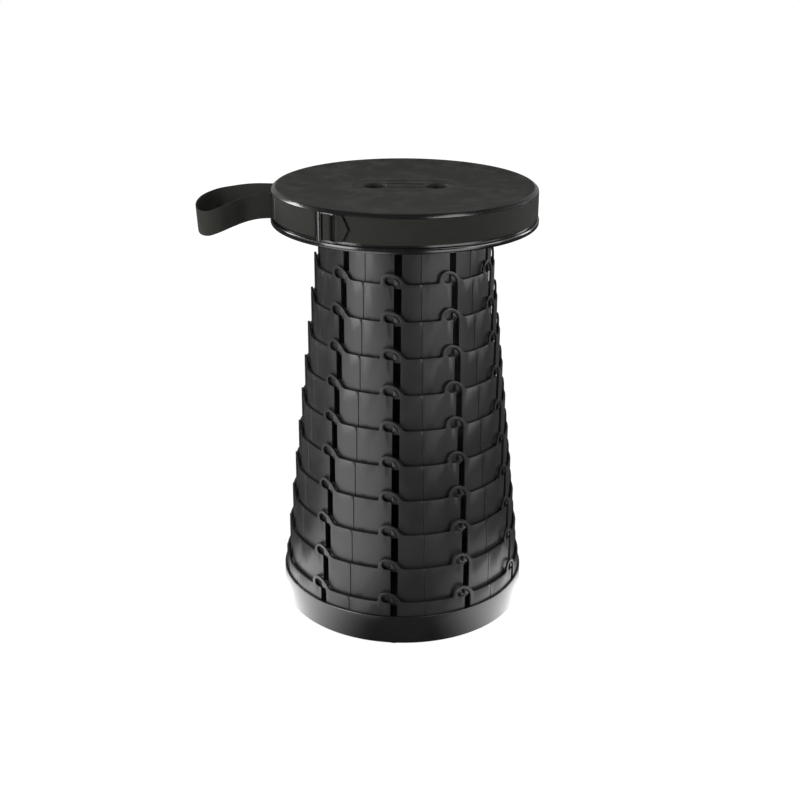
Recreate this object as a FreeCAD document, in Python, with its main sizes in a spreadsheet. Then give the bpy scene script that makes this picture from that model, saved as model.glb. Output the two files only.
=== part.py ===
"""Collapsible telescopic stool with a round seat, in millimetres.

Twelve tubes slide inside one another under a round seat: the seat's own collar, ten
moving rings and the ring that is fixed in the base. Each tube carries pegs near its
lower edge that run in the slots of the next larger one. The stool stands on z = 0 and
the Z axis is the common axis of all tubes. The front looks towards -Y.
"""

import FreeCAD
import Part
import Sketcher
import math
import os

# Driving sizes: name, value, meaning
SIZES = [
    ("ring_count", 11, "slotted rings, the smallest under the seat, the largest in the base"),
    ("base_ring_radius", 127.1, "outer radius of the ring in the base"),
    ("ring_wall", 2.0, "wall of every ring and of the seat collar"),
    ("ring_gap", 1.96, "radial gap between two neighbouring rings"),
    ("ring_pitch", 36.11, "height that one ring adds, and its travel"),
    ("ring_overlap", 5.0, "how far a ring's lower edge stays inside the next ring"),
    ("floor_level", 6.09, "lower edge of the base ring above the ground"),
    ("channel_count", 10, "slots round each ring"),
    ("channel_azimuth", -4.0, "first slot, degrees right of the front"),
    ("channel_width", 7.4, "width of the straight part of a slot"),
    ("flats_per_tile", 4, "narrow flats that draw the round face from one slot to the next"),
    ("hump_height", 11.2, "hump above the ring's flat top edge"),
    ("hump_left", 17.6, "hump's left foot, left of the slot's middle"),
    ("hump_crown_left", 13.6, "left end of the hump's crown"),
    ("hump_crown_right", 3.0, "right end of the hump's crown, left of the slot's middle"),
    ("hump_right", 7.6, "foot of the hump's right shoulder, right of the slot's middle"),
    ("strip_width", 2.9, "strip of wall between the pocket and the hump's crown"),
    ("pocket_left", 12.0, "left side of the pocket where a peg locks"),
    ("pocket_height", 9.3, "height of the pocket"),
    ("guide_top", 3.5, "top of the sloped edge that guides a peg into the pocket"),
    ("skin_height", 11.9, "height of the closed skin that carries a ring's pegs"),
    ("skin_groove_depth", 1.2, "depth of the inner groove behind that skin"),
    ("skin_groove_margin", 0.2, "how much wider than the slot the groove is on each side"),
    ("peg_reach", 2.96, "how far a peg stands out of its ring"),
    ("peg_root", 0.4, "how deep a peg's root is moulded into the skin"),
    ("peg_side_gap", 0.3, "clearance between a peg and the slot's left side"),
    ("peg_floor_gap", 0.3, "clearance between a peg and the pocket's floor"),
    ("peg_back_gap", 1.6, "sideways clearance between a peg's sloped back and the guiding edge"),
    ("base_radius", 129.5, "outer radius of the base"),
    ("base_height", 31.9, "top edge of the base's band above the ground"),
    ("base_wall_gap", 0.3, "gap between the base ring and the band"),
    ("base_edge_slope", 1.2, "bevel of the band's lower edge"),
    ("base_lip_slope", 0.8, "bevel of the band's top edge"),
    ("base_floor_top", 5.5, "top of the base's floor above the ground"),
    ("base_floor_under", 3.0, "underside of the floor between rim and hub"),
    ("base_underside", 1.0, "underside of rim and hub above the ground"),
    ("base_rim_width", 17.5, "width of the flat rim under the base"),
    ("base_hub_radius", 18.0, "hub in the middle of the base"),
    ("base_rib_width", 2.5, "ribs under the base"),
    ("snap_height", 13.7, "middle of the snap lugs above the ground"),
    ("snap_width", 8.0, "width of a snap lug"),
    ("snap_tall", 2.6, "height of a snap lug"),
    ("snap_bite", 0.8, "how far a lug reaches into the ring"),
    ("snap_gap", 0.2, "clearance round a lug"),
    ("pad_count", 8, "rubber pads under the rim"),
    ("pad_radius", 7.0, "radius of a rubber pad"),
    ("pad_circle", 120.5, "radius of the circle of pads"),
    ("pad_height", 2.0, "height of a pad"),
    ("pad_gap", 0.1, "clearance between a pad and its socket"),
    ("hub_pad_radius", 12.0, "radius of the pad in the middle"),
    ("seat_rise", 41.7, "seat crest above the top edge of the smallest ring"),
    ("seat_crest_radius", 126.0, "radius of the seat's highest line"),
    ("seat_rim_radius", 132.8, "outer radius of the seat's rim"),
    ("seat_rim_drop", 2.7, "height of the rounded rim"),
    ("seat_dish", 1.6, "how deep the seat is dished"),
    ("seat_dish_run", 14.0, "width of the slope from the crest down to the dish"),
    ("seat_plate", 3.6, "thickness of the seat plate"),
    ("skirt_bore_gap", 1.4, "gap between the skirt and the base ring"),
    ("skirt_wall", 2.5, "wall of the skirt"),
    ("skirt_top_drop", 5.0, "top edge of the skirt below the crest"),
    ("spigot_wall", 2.4, "wall of the seat plate's spigot inside the skirt"),
    ("spigot_gap", 0.1, "clearance between spigot and skirt"),
    ("spigot_drop", 9.0, "lower edge of the spigot below the crest"),
    ("lip_radius", 134.0, "outer radius of the glossy lip"),
    ("lip_top_drop", 31.0, "top of the lip below the crest"),
    ("lip_height", 5.7, "height of the lip"),
    ("lip_slope", 1.8, "bevels of the lip"),
    ("collar_drop", 10.0, "top of the seat collar below the crest"),
    ("collar_flange", 3.0, "thickness of the collar's flange"),
    ("collar_flange_width", 13.5, "how far the flange reaches inwards"),
    ("screw_count", 4, "screws that hold the collar to the seat plate"),
    ("screw_circle", 75.5, "radius of the circle of screws"),
    ("screw_radius", 1.5, "shank radius"),
    ("screw_head_radius", 3.2, "head radius"),
    ("screw_head", 2.2, "head height"),
    ("screw_length", 7.8, "shank length"),
    ("screw_hole_gap", 0.3, "clearance of the shank in the flange"),
    ("pilot_gap", 0.05, "clearance of the shank in its boss"),
    ("boss_radius", 4.5, "radius of a screw boss"),
    ("rib_width", 2.0, "ribs under the seat plate"),
    ("rib_drop", 9.0, "lower edge of the ribs below the crest"),
    ("finger_hole_radius", 12.5, "radius of a finger hole"),
    ("finger_hole_offset", 30.8, "finger hole from the middle of the seat"),
    ("finger_hole_slope", 1.2, "bevel of a finger hole's edge"),
    ("finger_collar_wall", 2.0, "wall of the tube below a finger hole"),
    ("field_length", 104.0, "length of the shallow field round the finger holes"),
    ("field_width", 44.0, "width of that field"),
    ("field_depth", 0.4, "depth of that field"),
    ("strap_width", 24.8, "width of the webbing"),
    ("strap_thickness", 1.9, "thickness of the band round the seat"),
    ("strap_gap", 0.2, "gap behind the band, and between layers"),
    ("strap_drop", 3.7, "top edge of the band below the crest"),
    ("slider_azimuth", -33.4, "middle of the slider, degrees right of the front"),
    ("slider_width", 18.9, "width of the slider round the seat"),
    ("slider_height", 28.0, "height of the slider"),
    ("slider_thickness", 2.0, "thickness of the slider"),
    ("slider_slot_height", 25.4, "height of the slider's slots"),
    ("slider_side_bar", 3.2, "width of the slider's side bars"),
    ("slider_middle_bar", 4.4, "width of the slider's middle bar"),
    ("tail_length", 15.2, "free strap end from the slider to its point"),
    ("tail_point", 6.6, "length of its pointed part"),
    ("tail_thickness", 1.4, "thickness of the strap end"),
    ("loop_thickness", 1.6, "thickness of the carry loop"),
    ("loop_azimuth", -86.5, "direction in which the loop stands out"),
    ("loop_spread", 44.0, "distance between the loop's two roots"),
    ("loop_bend_radius", 36.0, "radius of the loop's outer bend"),
    ("loop_reach", 72.5, "how far the loop stands out of the band"),
    ("loop_droop", 11.5, "how far the loop hangs down, degrees"),
    ("loop_gap", 0.3, "clearance between the loop's roots and the band"),
]

VALUES = {name: value for name, value, meaning in SIZES}
MOVING_RINGS = range(1, int(VALUES["ring_count"]))
FULL_TURN = 360.0
REACH = 300.0

# Derived sizes, written once as expressions of the sheet
STEP = "(Sizes.ring_wall + Sizes.ring_gap)"
FLAT = "(Sizes.ring_pitch + Sizes.ring_overlap)"
HALF_SLOT = "(Sizes.channel_width / 2)"
POCKET_TOP = "(Sizes.hump_height - Sizes.strip_width)"
POCKET_FLOOR = "(Sizes.hump_height - Sizes.strip_width - Sizes.pocket_height)"
GUIDE_RUN = f"({HALF_SLOT} + Sizes.guide_top)"
FLAT_COUNT = "(Sizes.channel_count * Sizes.flats_per_tile)"
FACE = f"cos(180 deg / {FLAT_COUNT})"
SLOT_PITCH = "(360 deg / Sizes.channel_count)"
STACK_TOP = "(Sizes.floor_level + Sizes.ring_overlap + Sizes.ring_pitch * Sizes.ring_count)"
SEAT_TOP = f"({STACK_TOP} + Sizes.seat_rise)"
COLLAR_RADIUS = f"(Sizes.base_ring_radius - Sizes.ring_count * {STEP})"
SKIRT_BORE = "(Sizes.base_ring_radius + Sizes.skirt_bore_gap)"
SKIRT_RADIUS = f"({SKIRT_BORE} + Sizes.skirt_wall)"
BAND_INNER = f"({SKIRT_RADIUS} + Sizes.strap_gap)"
BAND_OUTER = f"({BAND_INNER} + Sizes.strap_thickness)"
DISH_LEVEL = "(-Sizes.seat_dish)"
PLATE_UNDER = "(-Sizes.seat_dish - Sizes.seat_plate)"


def ring_radius(number):
    """Outer radius of a ring as an expression. Ring 0 is the seat's collar."""
    return f"(Sizes.base_ring_radius - (Sizes.ring_count - {number}) * {STEP})"


def ring_level(number):
    """Height of a ring's flat top edge above the ground, as an expression."""
    return f"({STACK_TOP} - Sizes.ring_pitch * ({number} - 1))"


def make_sheet(doc):
    """Write the driving sizes into a spreadsheet with one alias for each."""
    sheet = doc.addObject("Spreadsheet::Sheet", "Sizes")
    for row, (name, value, meaning) in enumerate(SIZES, start=1):
        sheet.set(f"A{row}", name)
        sheet.set(f"B{row}", str(value))
        sheet.set(f"C{row}", meaning)
        sheet.setAlias(f"B{row}", name)
    doc.recompute()
    return sheet


def value_of(obj, expression):
    """Number that an expression has now."""
    return float(obj.evalExpression(expression))


def bind(obj, **expressions):
    """Bind properties of an object to expressions; a double underscore stands for a dot."""
    for name, expression in expressions.items():
        obj.setExpression(name.replace("__", "."), expression)


def origin_part(body, role):
    """Origin plane or axis of a body, found by its role."""
    return next(feature for feature in body.Origin.OriginFeatures if feature.Role == role)


def arc_between(start, end, radius, side):
    """Arc of less than half a turn from start to end; side is +1 when its centre is on the left."""
    middle = (start + end) * 0.5
    chord = end - start
    height = math.sqrt(max(radius**2 - (chord.Length / 2) ** 2, 0.0))
    left = FreeCAD.Vector(-chord.y, chord.x, 0).normalize()
    centre = middle + left * height * side
    first, last = (start, end) if side > 0 else (end, start)
    begin = math.atan2(first.y - centre.y, first.x - centre.x)
    finish = math.atan2(last.y - centre.y, last.x - centre.x)
    circle = Part.Circle(centre, FreeCAD.Vector(0, 0, 1), radius)
    return Part.ArcOfCircle(circle, begin, finish)


def draw(sketch, corners):
    """Draw a closed outline whose corners and arc radii are bound to the sheet.

    Each corner is (x, y) before a straight edge, or (x, y, radius, side) before an arc.
    """
    places = [FreeCAD.Vector(value_of(sketch, c[0]), value_of(sketch, c[1]), 0) for c in corners]
    count = len(corners)
    starts = []
    ends = []
    for index, corner in enumerate(corners):
        here = places[index]
        there = places[(index + 1) % count]
        if len(corner) == 2:
            edge = sketch.addGeometry(Part.LineSegment(here, there), False)
            starts.append((edge, 1))
            ends.append((edge, 2))
        else:
            radius = value_of(sketch, corner[2])
            edge = sketch.addGeometry(arc_between(here, there, radius, corner[3]), False)
            starts.append((edge, 1 if corner[3] > 0 else 2))
            ends.append((edge, 2 if corner[3] > 0 else 1))
            radius_rule = sketch.addConstraint(Sketcher.Constraint("Radius", edge, radius))
            sketch.setExpression(f"Constraints[{radius_rule}]", corner[2])
    for index, corner in enumerate(corners):
        sketch.addConstraint(Sketcher.Constraint("Coincident", *ends[index - 1], *starts[index]))
        for kind, place, expression in (
            ("DistanceX", places[index].x, corner[0]),
            ("DistanceY", places[index].y, corner[1]),
        ):
            rule = sketch.addConstraint(Sketcher.Constraint(kind, -1, 1, *starts[index], place))
            sketch.setExpression(f"Constraints[{rule}]", expression)


def circle_in(sketch, x, y, radius):
    """Add a circle whose centre and radius are bound to the sheet."""
    centre = FreeCAD.Vector(value_of(sketch, x), value_of(sketch, y), 0)
    size = value_of(sketch, radius)
    edge = sketch.addGeometry(Part.Circle(centre, FreeCAD.Vector(0, 0, 1), size), False)
    rule = sketch.addConstraint(Sketcher.Constraint("Radius", edge, size))
    sketch.setExpression(f"Constraints[{rule}]", radius)
    for kind, place, expression in (("DistanceX", centre.x, x), ("DistanceY", centre.y, y)):
        rule = sketch.addConstraint(Sketcher.Constraint(kind, -1, 1, edge, 3, place))
        sketch.setExpression(f"Constraints[{rule}]", expression)


def body_sketch(body, name, role, offset=None, turn=None):
    """Sketch on an origin plane of a body, moved out by offset and turned by turn."""
    sketch = body.newObject("Sketcher::SketchObject", name)
    sketch.AttachmentSupport = (origin_part(body, role), "")
    sketch.MapMode = "FlatFace"
    if turn:
        sketch.AttachmentOffset = FreeCAD.Placement(
            FreeCAD.Vector(), FreeCAD.Rotation(FreeCAD.Vector(0, 1, 0), value_of(sketch, turn))
        )
        sketch.setExpression("AttachmentOffset.Base.x", f"({offset}) * sin({turn})")
        sketch.setExpression("AttachmentOffset.Base.z", f"({offset}) * cos({turn})")
    elif offset:
        sketch.setExpression("AttachmentOffset.Base.z", offset)
    return sketch


def new_body(doc, label, level, azimuth="0"):
    """Body at a height above the ground, turned about the common axis."""
    body = doc.addObject("PartDesign::Body", label)
    body.Label = label
    body.Placement.Rotation = FreeCAD.Rotation(FreeCAD.Vector(0, 0, 1), 0)
    body.setExpression("Placement.Base.z", level)
    if azimuth != "0":
        body.setExpression("Placement.Rotation.Angle", azimuth)
    return body


def revolve(body, name, corners):
    """Turn an outline of radius and height about the body's axis."""
    sketch = body_sketch(body, f"{name}Profile", "XZ_Plane")
    draw(sketch, corners)
    feature = body.newObject("PartDesign::Revolution", name)
    feature.Profile = sketch
    feature.ReferenceAxis = (origin_part(body, "Z_Axis"), [""])
    feature.Angle = FULL_TURN
    return feature


def pocket(body, name, sketch, length, reverse=True):
    """Cut a sketch's outline out of the body."""
    feature = body.newObject("PartDesign::Pocket", name)
    feature.Profile = sketch
    feature.setExpression("Length", length)
    feature.Reversed = reverse
    return feature


def pad(body, name, sketch, length, reverse=False):
    """Add a sketch's outline to the body."""
    feature = body.newObject("PartDesign::Pad", name)
    feature.Profile = sketch
    feature.setExpression("Length", length)
    feature.Reversed = reverse
    return feature


def polar(body, name, features, count):
    """Repeat features about the body's axis."""
    pattern = body.newObject("PartDesign::PolarPattern", name)
    pattern.Originals = features
    pattern.Axis = (origin_part(body, "Z_Axis"), [""])
    pattern.Angle = FULL_TURN
    pattern.setExpression("Occurrences", count)
    body.Tip = pattern
    return pattern


def hump_outline(number):
    """Region above a ring's top edge, from one tile's middle to the next, less its hump."""
    half_tile = f"({ring_radius(number)} * sin({SLOT_PITCH} / 2) + 0.5)"
    high = "(Sizes.hump_height + 2)"
    return [
        (f"-{half_tile}", "0"),
        ("-Sizes.hump_left", "0"),
        ("-Sizes.hump_crown_left", "Sizes.hump_height"),
        ("-Sizes.hump_crown_right", "Sizes.hump_height"),
        ("Sizes.hump_right", "0"),
        (half_tile, "0"),
        (half_tile, high),
        (f"-{half_tile}", high),
    ]


def slot_outline():
    """Slot shaped like a hook: a straight channel whose head leans left into a pocket."""
    low = f"(Sizes.skin_height - {FLAT})"
    return [
        (f"-{HALF_SLOT}", low),
        (HALF_SLOT, low),
        (HALF_SLOT, "0"),
        ("-Sizes.guide_top", POCKET_TOP),
        ("-Sizes.pocket_left", POCKET_TOP),
        ("-Sizes.pocket_left", POCKET_FLOOR),
        (f"-{HALF_SLOT}", POCKET_FLOOR),
    ]


def skin_groove_outline():
    """Inner groove below a slot, behind the skin that carries the ring's own peg."""
    half = f"({HALF_SLOT} + Sizes.skin_groove_margin)"
    low = f"(-{FLAT} - 1)"
    high = f"(Sizes.skin_height - {FLAT} + 0.5)"
    return [(f"-{half}", low), (half, low), (half, high), (f"-{half}", high)]


def peg_outline():
    """Peg with a flat foot that rests on a pocket's floor and a back along the guiding edge."""
    foot = f"({POCKET_FLOOR} + Sizes.peg_floor_gap)"
    side = f"({HALF_SLOT} - Sizes.peg_side_gap)"
    reach = f"({HALF_SLOT} - Sizes.peg_back_gap)"
    toe = f"({reach} - {foot} * {GUIDE_RUN} / {POCKET_TOP})"
    top = f"(({reach} + {side}) * {POCKET_TOP} / {GUIDE_RUN})"
    return [
        (f"-{side}", f"({foot} - Sizes.ring_pitch)"),
        (toe, f"({foot} - Sizes.ring_pitch)"),
        (f"-{side}", f"({top} - Sizes.ring_pitch)"),
    ]


def prism_feature(body, kind, name, radius, low, height):
    """Upright prism with one of its flats square to the front."""
    feature = body.newObject(f"PartDesign::{kind}", name)
    bind(feature, Polygon=FLAT_COUNT, Circumradius=radius, Height=height)
    feature.Placement.Rotation = FreeCAD.Rotation(FreeCAD.Vector(0, 0, 1), 0)
    bind(feature, Placement__Base__z=low, Placement__Rotation__Angle=f"180 deg / {FLAT_COUNT} - 90 deg")
    return feature


def make_tube(body, number, top):
    """Plain tube of a ring, from its lower edge up to top."""
    outer = ring_radius(number)
    prism_feature(body, "AdditivePrism", "Tube", outer, f"-{FLAT}", f"({FLAT} + {top})")
    prism_feature(body, "SubtractivePrism", "Bore", f"({outer} - Sizes.ring_wall)",
                  f"(-{FLAT} - 1)", f"({FLAT} + {top} + 2)")


def face_distance(radius):
    """Distance from the axis to the flats of a prism."""
    return f"({radius} * {FACE})"


def make_pegs(body, number):
    """One peg on the outer face of a ring, to be repeated."""
    face = face_distance(ring_radius(number))
    sketch = body_sketch(body, "PegOutline", "XZ_Plane", f"({face} - Sizes.peg_root)")
    draw(sketch, peg_outline())
    return pad(body, "Peg", sketch, "(Sizes.peg_root + Sizes.peg_reach)")


def make_ring(doc, number):
    """Ring with humps, hooked slots and, unless it is the base's, pegs."""
    body = new_body(doc, f"ring_{number:02d}", ring_level(number), "Sizes.channel_azimuth")
    outer = ring_radius(number)
    make_tube(body, number, "Sizes.hump_height")
    hump = body_sketch(body, "HumpOutline", "XZ_Plane")
    draw(hump, hump_outline(number))
    edge = pocket(body, "TopEdge", hump, f"({outer} + 1)")
    slot = body_sketch(body, "SlotOutline", "XZ_Plane")
    draw(slot, slot_outline())
    channel = pocket(body, "Slot", slot, f"({outer} + 1)")
    groove = body_sketch(body, "GrooveOutline", "XZ_Plane")
    draw(groove, skin_groove_outline())
    inside = face_distance(f"({outer} - Sizes.ring_wall)")
    relief = pocket(body, "SkinGroove", groove, f"({inside} + Sizes.skin_groove_depth)")
    features = [edge, channel, relief]
    if number < int(VALUES["ring_count"]):
        features.append(make_pegs(body, number))
    else:
        features.append(make_snap_recess(body, number))
    polar(body, "AllRound", features, "Sizes.channel_count")
    return body


def snap_outline(grow, level):
    """Outline of a snap lug, grown on every side, at a height in its body's own frame."""
    half = f"(Sizes.snap_width / 2 {grow})"
    low = f"({level} - Sizes.snap_tall / 2 - (0 {grow}))"
    high = f"({level} + Sizes.snap_tall / 2 + (0 {grow}))"
    return [(f"-{half}", low), (half, low), (half, high), (f"-{half}", high)]


def make_snap_recess(body, number):
    """Shallow recess in the base ring's outer face for one lug of the base."""
    depth = "(Sizes.snap_bite + Sizes.snap_gap)"
    face = face_distance(ring_radius(number))
    sketch = body_sketch(body, "SnapOutline", "XZ_Plane", f"({face} - {depth})", f"{SLOT_PITCH} / 2")
    draw(sketch, snap_outline("+ Sizes.snap_gap", f"(Sizes.snap_height - {ring_level(number)})"))
    return pocket(body, "SnapRecess", sketch, f"({depth} + 1)")


def make_base_cup(doc):
    """Base with its glossy band, floor, hub, ribs, pad sockets and snap lugs."""
    body = new_body(doc, "base_cup", "0", "Sizes.channel_azimuth")
    inner = "(Sizes.base_ring_radius + Sizes.base_wall_gap)"
    seat = "(Sizes.base_ring_radius - Sizes.ring_wall - Sizes.base_wall_gap)"
    rim = "(Sizes.base_radius - Sizes.base_rim_width)"
    revolve(body, "Shell", [
        ("0", "Sizes.base_underside"),
        ("Sizes.base_hub_radius", "Sizes.base_underside"),
        ("Sizes.base_hub_radius", "Sizes.base_floor_under"),
        (rim, "Sizes.base_floor_under"),
        (rim, "Sizes.base_underside"),
        ("(Sizes.base_radius - Sizes.base_edge_slope)", "Sizes.base_underside"),
        ("Sizes.base_radius", "(Sizes.base_underside + Sizes.base_edge_slope)"),
        ("Sizes.base_radius", "(Sizes.base_height - Sizes.base_lip_slope)"),
        ("(Sizes.base_radius - Sizes.base_lip_slope)", "Sizes.base_height"),
        (inner, "Sizes.base_height"),
        (inner, "Sizes.floor_level"),
        (seat, "Sizes.floor_level"),
        (seat, "Sizes.base_floor_top"),
        ("0", "Sizes.base_floor_top"),
    ])
    rib = body_sketch(body, "RibOutline", "XY_Plane", "(Sizes.base_underside + 0.2)")
    draw(rib, [
        ("(-Sizes.base_rib_width / 2)", f"-({rim} + 1)"),
        ("(Sizes.base_rib_width / 2)", f"-({rim} + 1)"),
        ("(Sizes.base_rib_width / 2)", "-(Sizes.base_hub_radius - 1)"),
        ("(-Sizes.base_rib_width / 2)", "-(Sizes.base_hub_radius - 1)"),
    ])
    ribs = pad(body, "Rib", rib, "(Sizes.base_floor_under - Sizes.base_underside)")
    lug = body_sketch(
        body, "LugOutline", "XZ_Plane", f"({face_distance('Sizes.base_ring_radius')} - Sizes.snap_bite)",
        f"{SLOT_PITCH} / 2",
    )
    draw(lug, snap_outline("+ 0", "Sizes.snap_height"))
    lugs = pad(body, "SnapLug", lug, "(Sizes.snap_bite + Sizes.base_wall_gap + 1)")
    polar(body, "RibsAndLugs", [ribs, lugs], "Sizes.channel_count")
    depth = "(Sizes.pad_height - Sizes.base_underside)"
    hub = body_sketch(body, "HubSocketOutline", "XY_Plane", "Sizes.base_underside")
    circle_in(hub, "0", "0", "(Sizes.hub_pad_radius + Sizes.pad_gap)")
    pocket(body, "HubSocket", hub, depth)
    socket = body_sketch(body, "PadSocketOutline", "XY_Plane", "Sizes.base_underside")
    circle_in(socket, "0", "-Sizes.pad_circle", "(Sizes.pad_radius + Sizes.pad_gap)")
    polar(body, "PadSockets", [pocket(body, "PadSocket", socket, depth)], "Sizes.pad_count")
    return body


def on_circle(obj, index, count, radius, level):
    """Place an object on a circle about the common axis, counted from the first slot."""
    angle = f"(Sizes.channel_azimuth * 1 deg + {index} * 360 deg / {count})"
    bind(obj, Placement__Base__x=f"{radius} * sin{angle}", Placement__Base__y=f"-{radius} * cos{angle}",
         Placement__Base__z=level)


def cylinder(doc, name, radius, height):
    """Cylinder whose radius and height are expressions."""
    solid = doc.addObject("Part::Cylinder", name)
    bind(solid, Radius=radius, Height=height)
    return solid


def tube(doc, name, inner, outer, height, level):
    """Tube about the common axis."""
    core = cylinder(doc, f"{name}Core", inner, f"({height} + 2)")
    core.setExpression("Placement.Base.z", f"({level} - 1)")
    hull = cylinder(doc, f"{name}Hull", outer, height)
    hull.setExpression("Placement.Base.z", level)
    cut = doc.addObject("Part::Cut", name)
    cut.Base = hull
    cut.Tool = core
    return cut


def combine(doc, kind, name, base, tool):
    """Part::Cut or Part::Common of two objects."""
    result = doc.addObject(kind, name)
    result.Base = base
    result.Tool = tool
    return result


def make_pads(doc):
    """Rubber pads under the rim and the hub."""
    pads = []
    for index in range(int(VALUES["pad_count"])):
        solid = cylinder(doc, f"Pad{index}", "Sizes.pad_radius", "Sizes.pad_height")
        on_circle(solid, index, "Sizes.pad_count", "Sizes.pad_circle", "0")
        pads.append(solid)
    pads.append(cylinder(doc, "HubPad", "Sizes.hub_pad_radius", "Sizes.pad_height"))
    group = doc.addObject("Part::Compound", "foot_pads")
    group.Links = pads
    return group


def make_collar(doc):
    """Smallest tube, which hangs under the seat plate by a flange that reaches inwards."""
    body = new_body(doc, "seat_collar", ring_level(0), "Sizes.channel_azimuth")
    top = f"({SEAT_TOP} - Sizes.collar_drop - {ring_level(0)})"
    prism_feature(body, "AdditivePrism", "Tube", COLLAR_RADIUS, f"-{FLAT}", f"({FLAT} + {top})")
    prism_feature(body, "SubtractivePrism", "Bore", f"({COLLAR_RADIUS} - Sizes.ring_wall)",
                  f"(-{FLAT} - 1)", f"({FLAT} + {top} + 1 - Sizes.collar_flange)")
    prism_feature(body, "SubtractivePrism", "Mouth", f"({COLLAR_RADIUS} - Sizes.collar_flange_width)",
                  f"({top} - Sizes.collar_flange - 1)", "(Sizes.collar_flange + 2)")
    pegs = make_pegs(body, 0)
    polar(body, "Pegs", [pegs], "Sizes.channel_count")
    hole = body_sketch(body, "ScrewHoleOutline", "XY_Plane", f"({top} - Sizes.collar_flange - 1)")
    circle_in(hole, "0", "-Sizes.screw_circle", "(Sizes.screw_radius + Sizes.screw_hole_gap)")
    holes = pocket(body, "ScrewHole", hole, "(Sizes.collar_flange + 2)")
    polar(body, "ScrewHoles", [holes], "Sizes.screw_count")
    return body


def make_skirt(doc):
    """Outer wall of the seat: the recess that holds the strap, and the glossy lip below it."""
    body = new_body(doc, "seat_skirt", SEAT_TOP)
    low = "(-Sizes.lip_top_drop - Sizes.lip_height)"
    edge = "(Sizes.lip_radius - Sizes.lip_slope)"
    revolve(body, "Wall", [
        (SKIRT_BORE, low),
        (edge, low),
        ("Sizes.lip_radius", f"({low} + Sizes.lip_slope)"),
        ("Sizes.lip_radius", "(-Sizes.lip_top_drop - Sizes.lip_slope)"),
        (edge, "-Sizes.lip_top_drop"),
        (SKIRT_RADIUS, "-Sizes.lip_top_drop"),
        (SKIRT_RADIUS, "-Sizes.skirt_top_drop"),
        (SKIRT_BORE, "-Sizes.skirt_top_drop"),
    ])
    return body


def make_seat_plate(doc):
    """Seat plate: dished top, rounded rim, spigot, ribs, bosses and finger holes."""
    body = new_body(doc, "seat_top", SEAT_TOP, "Sizes.channel_azimuth")
    spigot_out = f"({SKIRT_BORE} - Sizes.spigot_gap)"
    spigot_in = f"({spigot_out} - Sizes.spigot_wall)"
    wide = "(Sizes.seat_rim_radius - Sizes.seat_crest_radius)"
    rim = f"(({wide} ^ 2 + Sizes.seat_rim_drop ^ 2) / (2 * Sizes.seat_rim_drop))"
    revolve(body, "Plate", [
        ("0", PLATE_UNDER),
        (spigot_in, PLATE_UNDER),
        (spigot_in, "-Sizes.spigot_drop"),
        (spigot_out, "-Sizes.spigot_drop"),
        (spigot_out, "-Sizes.skirt_top_drop"),
        (SKIRT_RADIUS, "-Sizes.skirt_top_drop"),
        (SKIRT_RADIUS, "-Sizes.seat_rim_drop"),
        ("Sizes.seat_rim_radius", "-Sizes.seat_rim_drop", rim, 1),
        ("Sizes.seat_crest_radius", "0"),
        ("(Sizes.seat_crest_radius - Sizes.seat_dish_run)", DISH_LEVEL),
        ("0", DISH_LEVEL),
    ])
    rib = body_sketch(body, "RibOutline", "XY_Plane", "-Sizes.rib_drop")
    draw(rib, [
        ("(-Sizes.rib_width / 2)", f"-({spigot_in} + 1)"),
        ("(Sizes.rib_width / 2)", f"-({spigot_in} + 1)"),
        ("(Sizes.rib_width / 2)", f"-({COLLAR_RADIUS} + {STEP})"),
        ("(-Sizes.rib_width / 2)", f"-({COLLAR_RADIUS} + {STEP})"),
    ])
    ribs = pad(body, "Rib", rib, f"(Sizes.rib_drop + {PLATE_UNDER} + 0.5)")
    polar(body, "Ribs", [ribs], "Sizes.channel_count")
    boss = body_sketch(body, "BossOutline", "XY_Plane", "-Sizes.collar_drop")
    circle_in(boss, "0", "-Sizes.screw_circle", "Sizes.boss_radius")
    bosses = pad(body, "Boss", boss, f"(Sizes.collar_drop + {PLATE_UNDER} + 0.5)")
    pilot = body_sketch(body, "PilotOutline", "XY_Plane", "(-Sizes.collar_drop - 1)")
    circle_in(pilot, "0", "-Sizes.screw_circle", "(Sizes.screw_radius + Sizes.pilot_gap)")
    pilots = pocket(body, "Pilot", pilot, "(Sizes.screw_length - Sizes.collar_flange + 1.5)")
    polar(body, "Bosses", [bosses, pilots], "Sizes.screw_count")
    make_finger_holes(body)
    return body


def finger_circles(sketch, radius):
    """Circles of one radius at both finger holes, square to the front."""
    turn = "(Sizes.channel_azimuth * 1 deg)"
    for side in (-1, 1):
        circle_in(sketch, f"({side} * Sizes.finger_hole_offset * cos{turn})",
                  f"({-side} * Sizes.finger_hole_offset * sin{turn})", radius)


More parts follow.
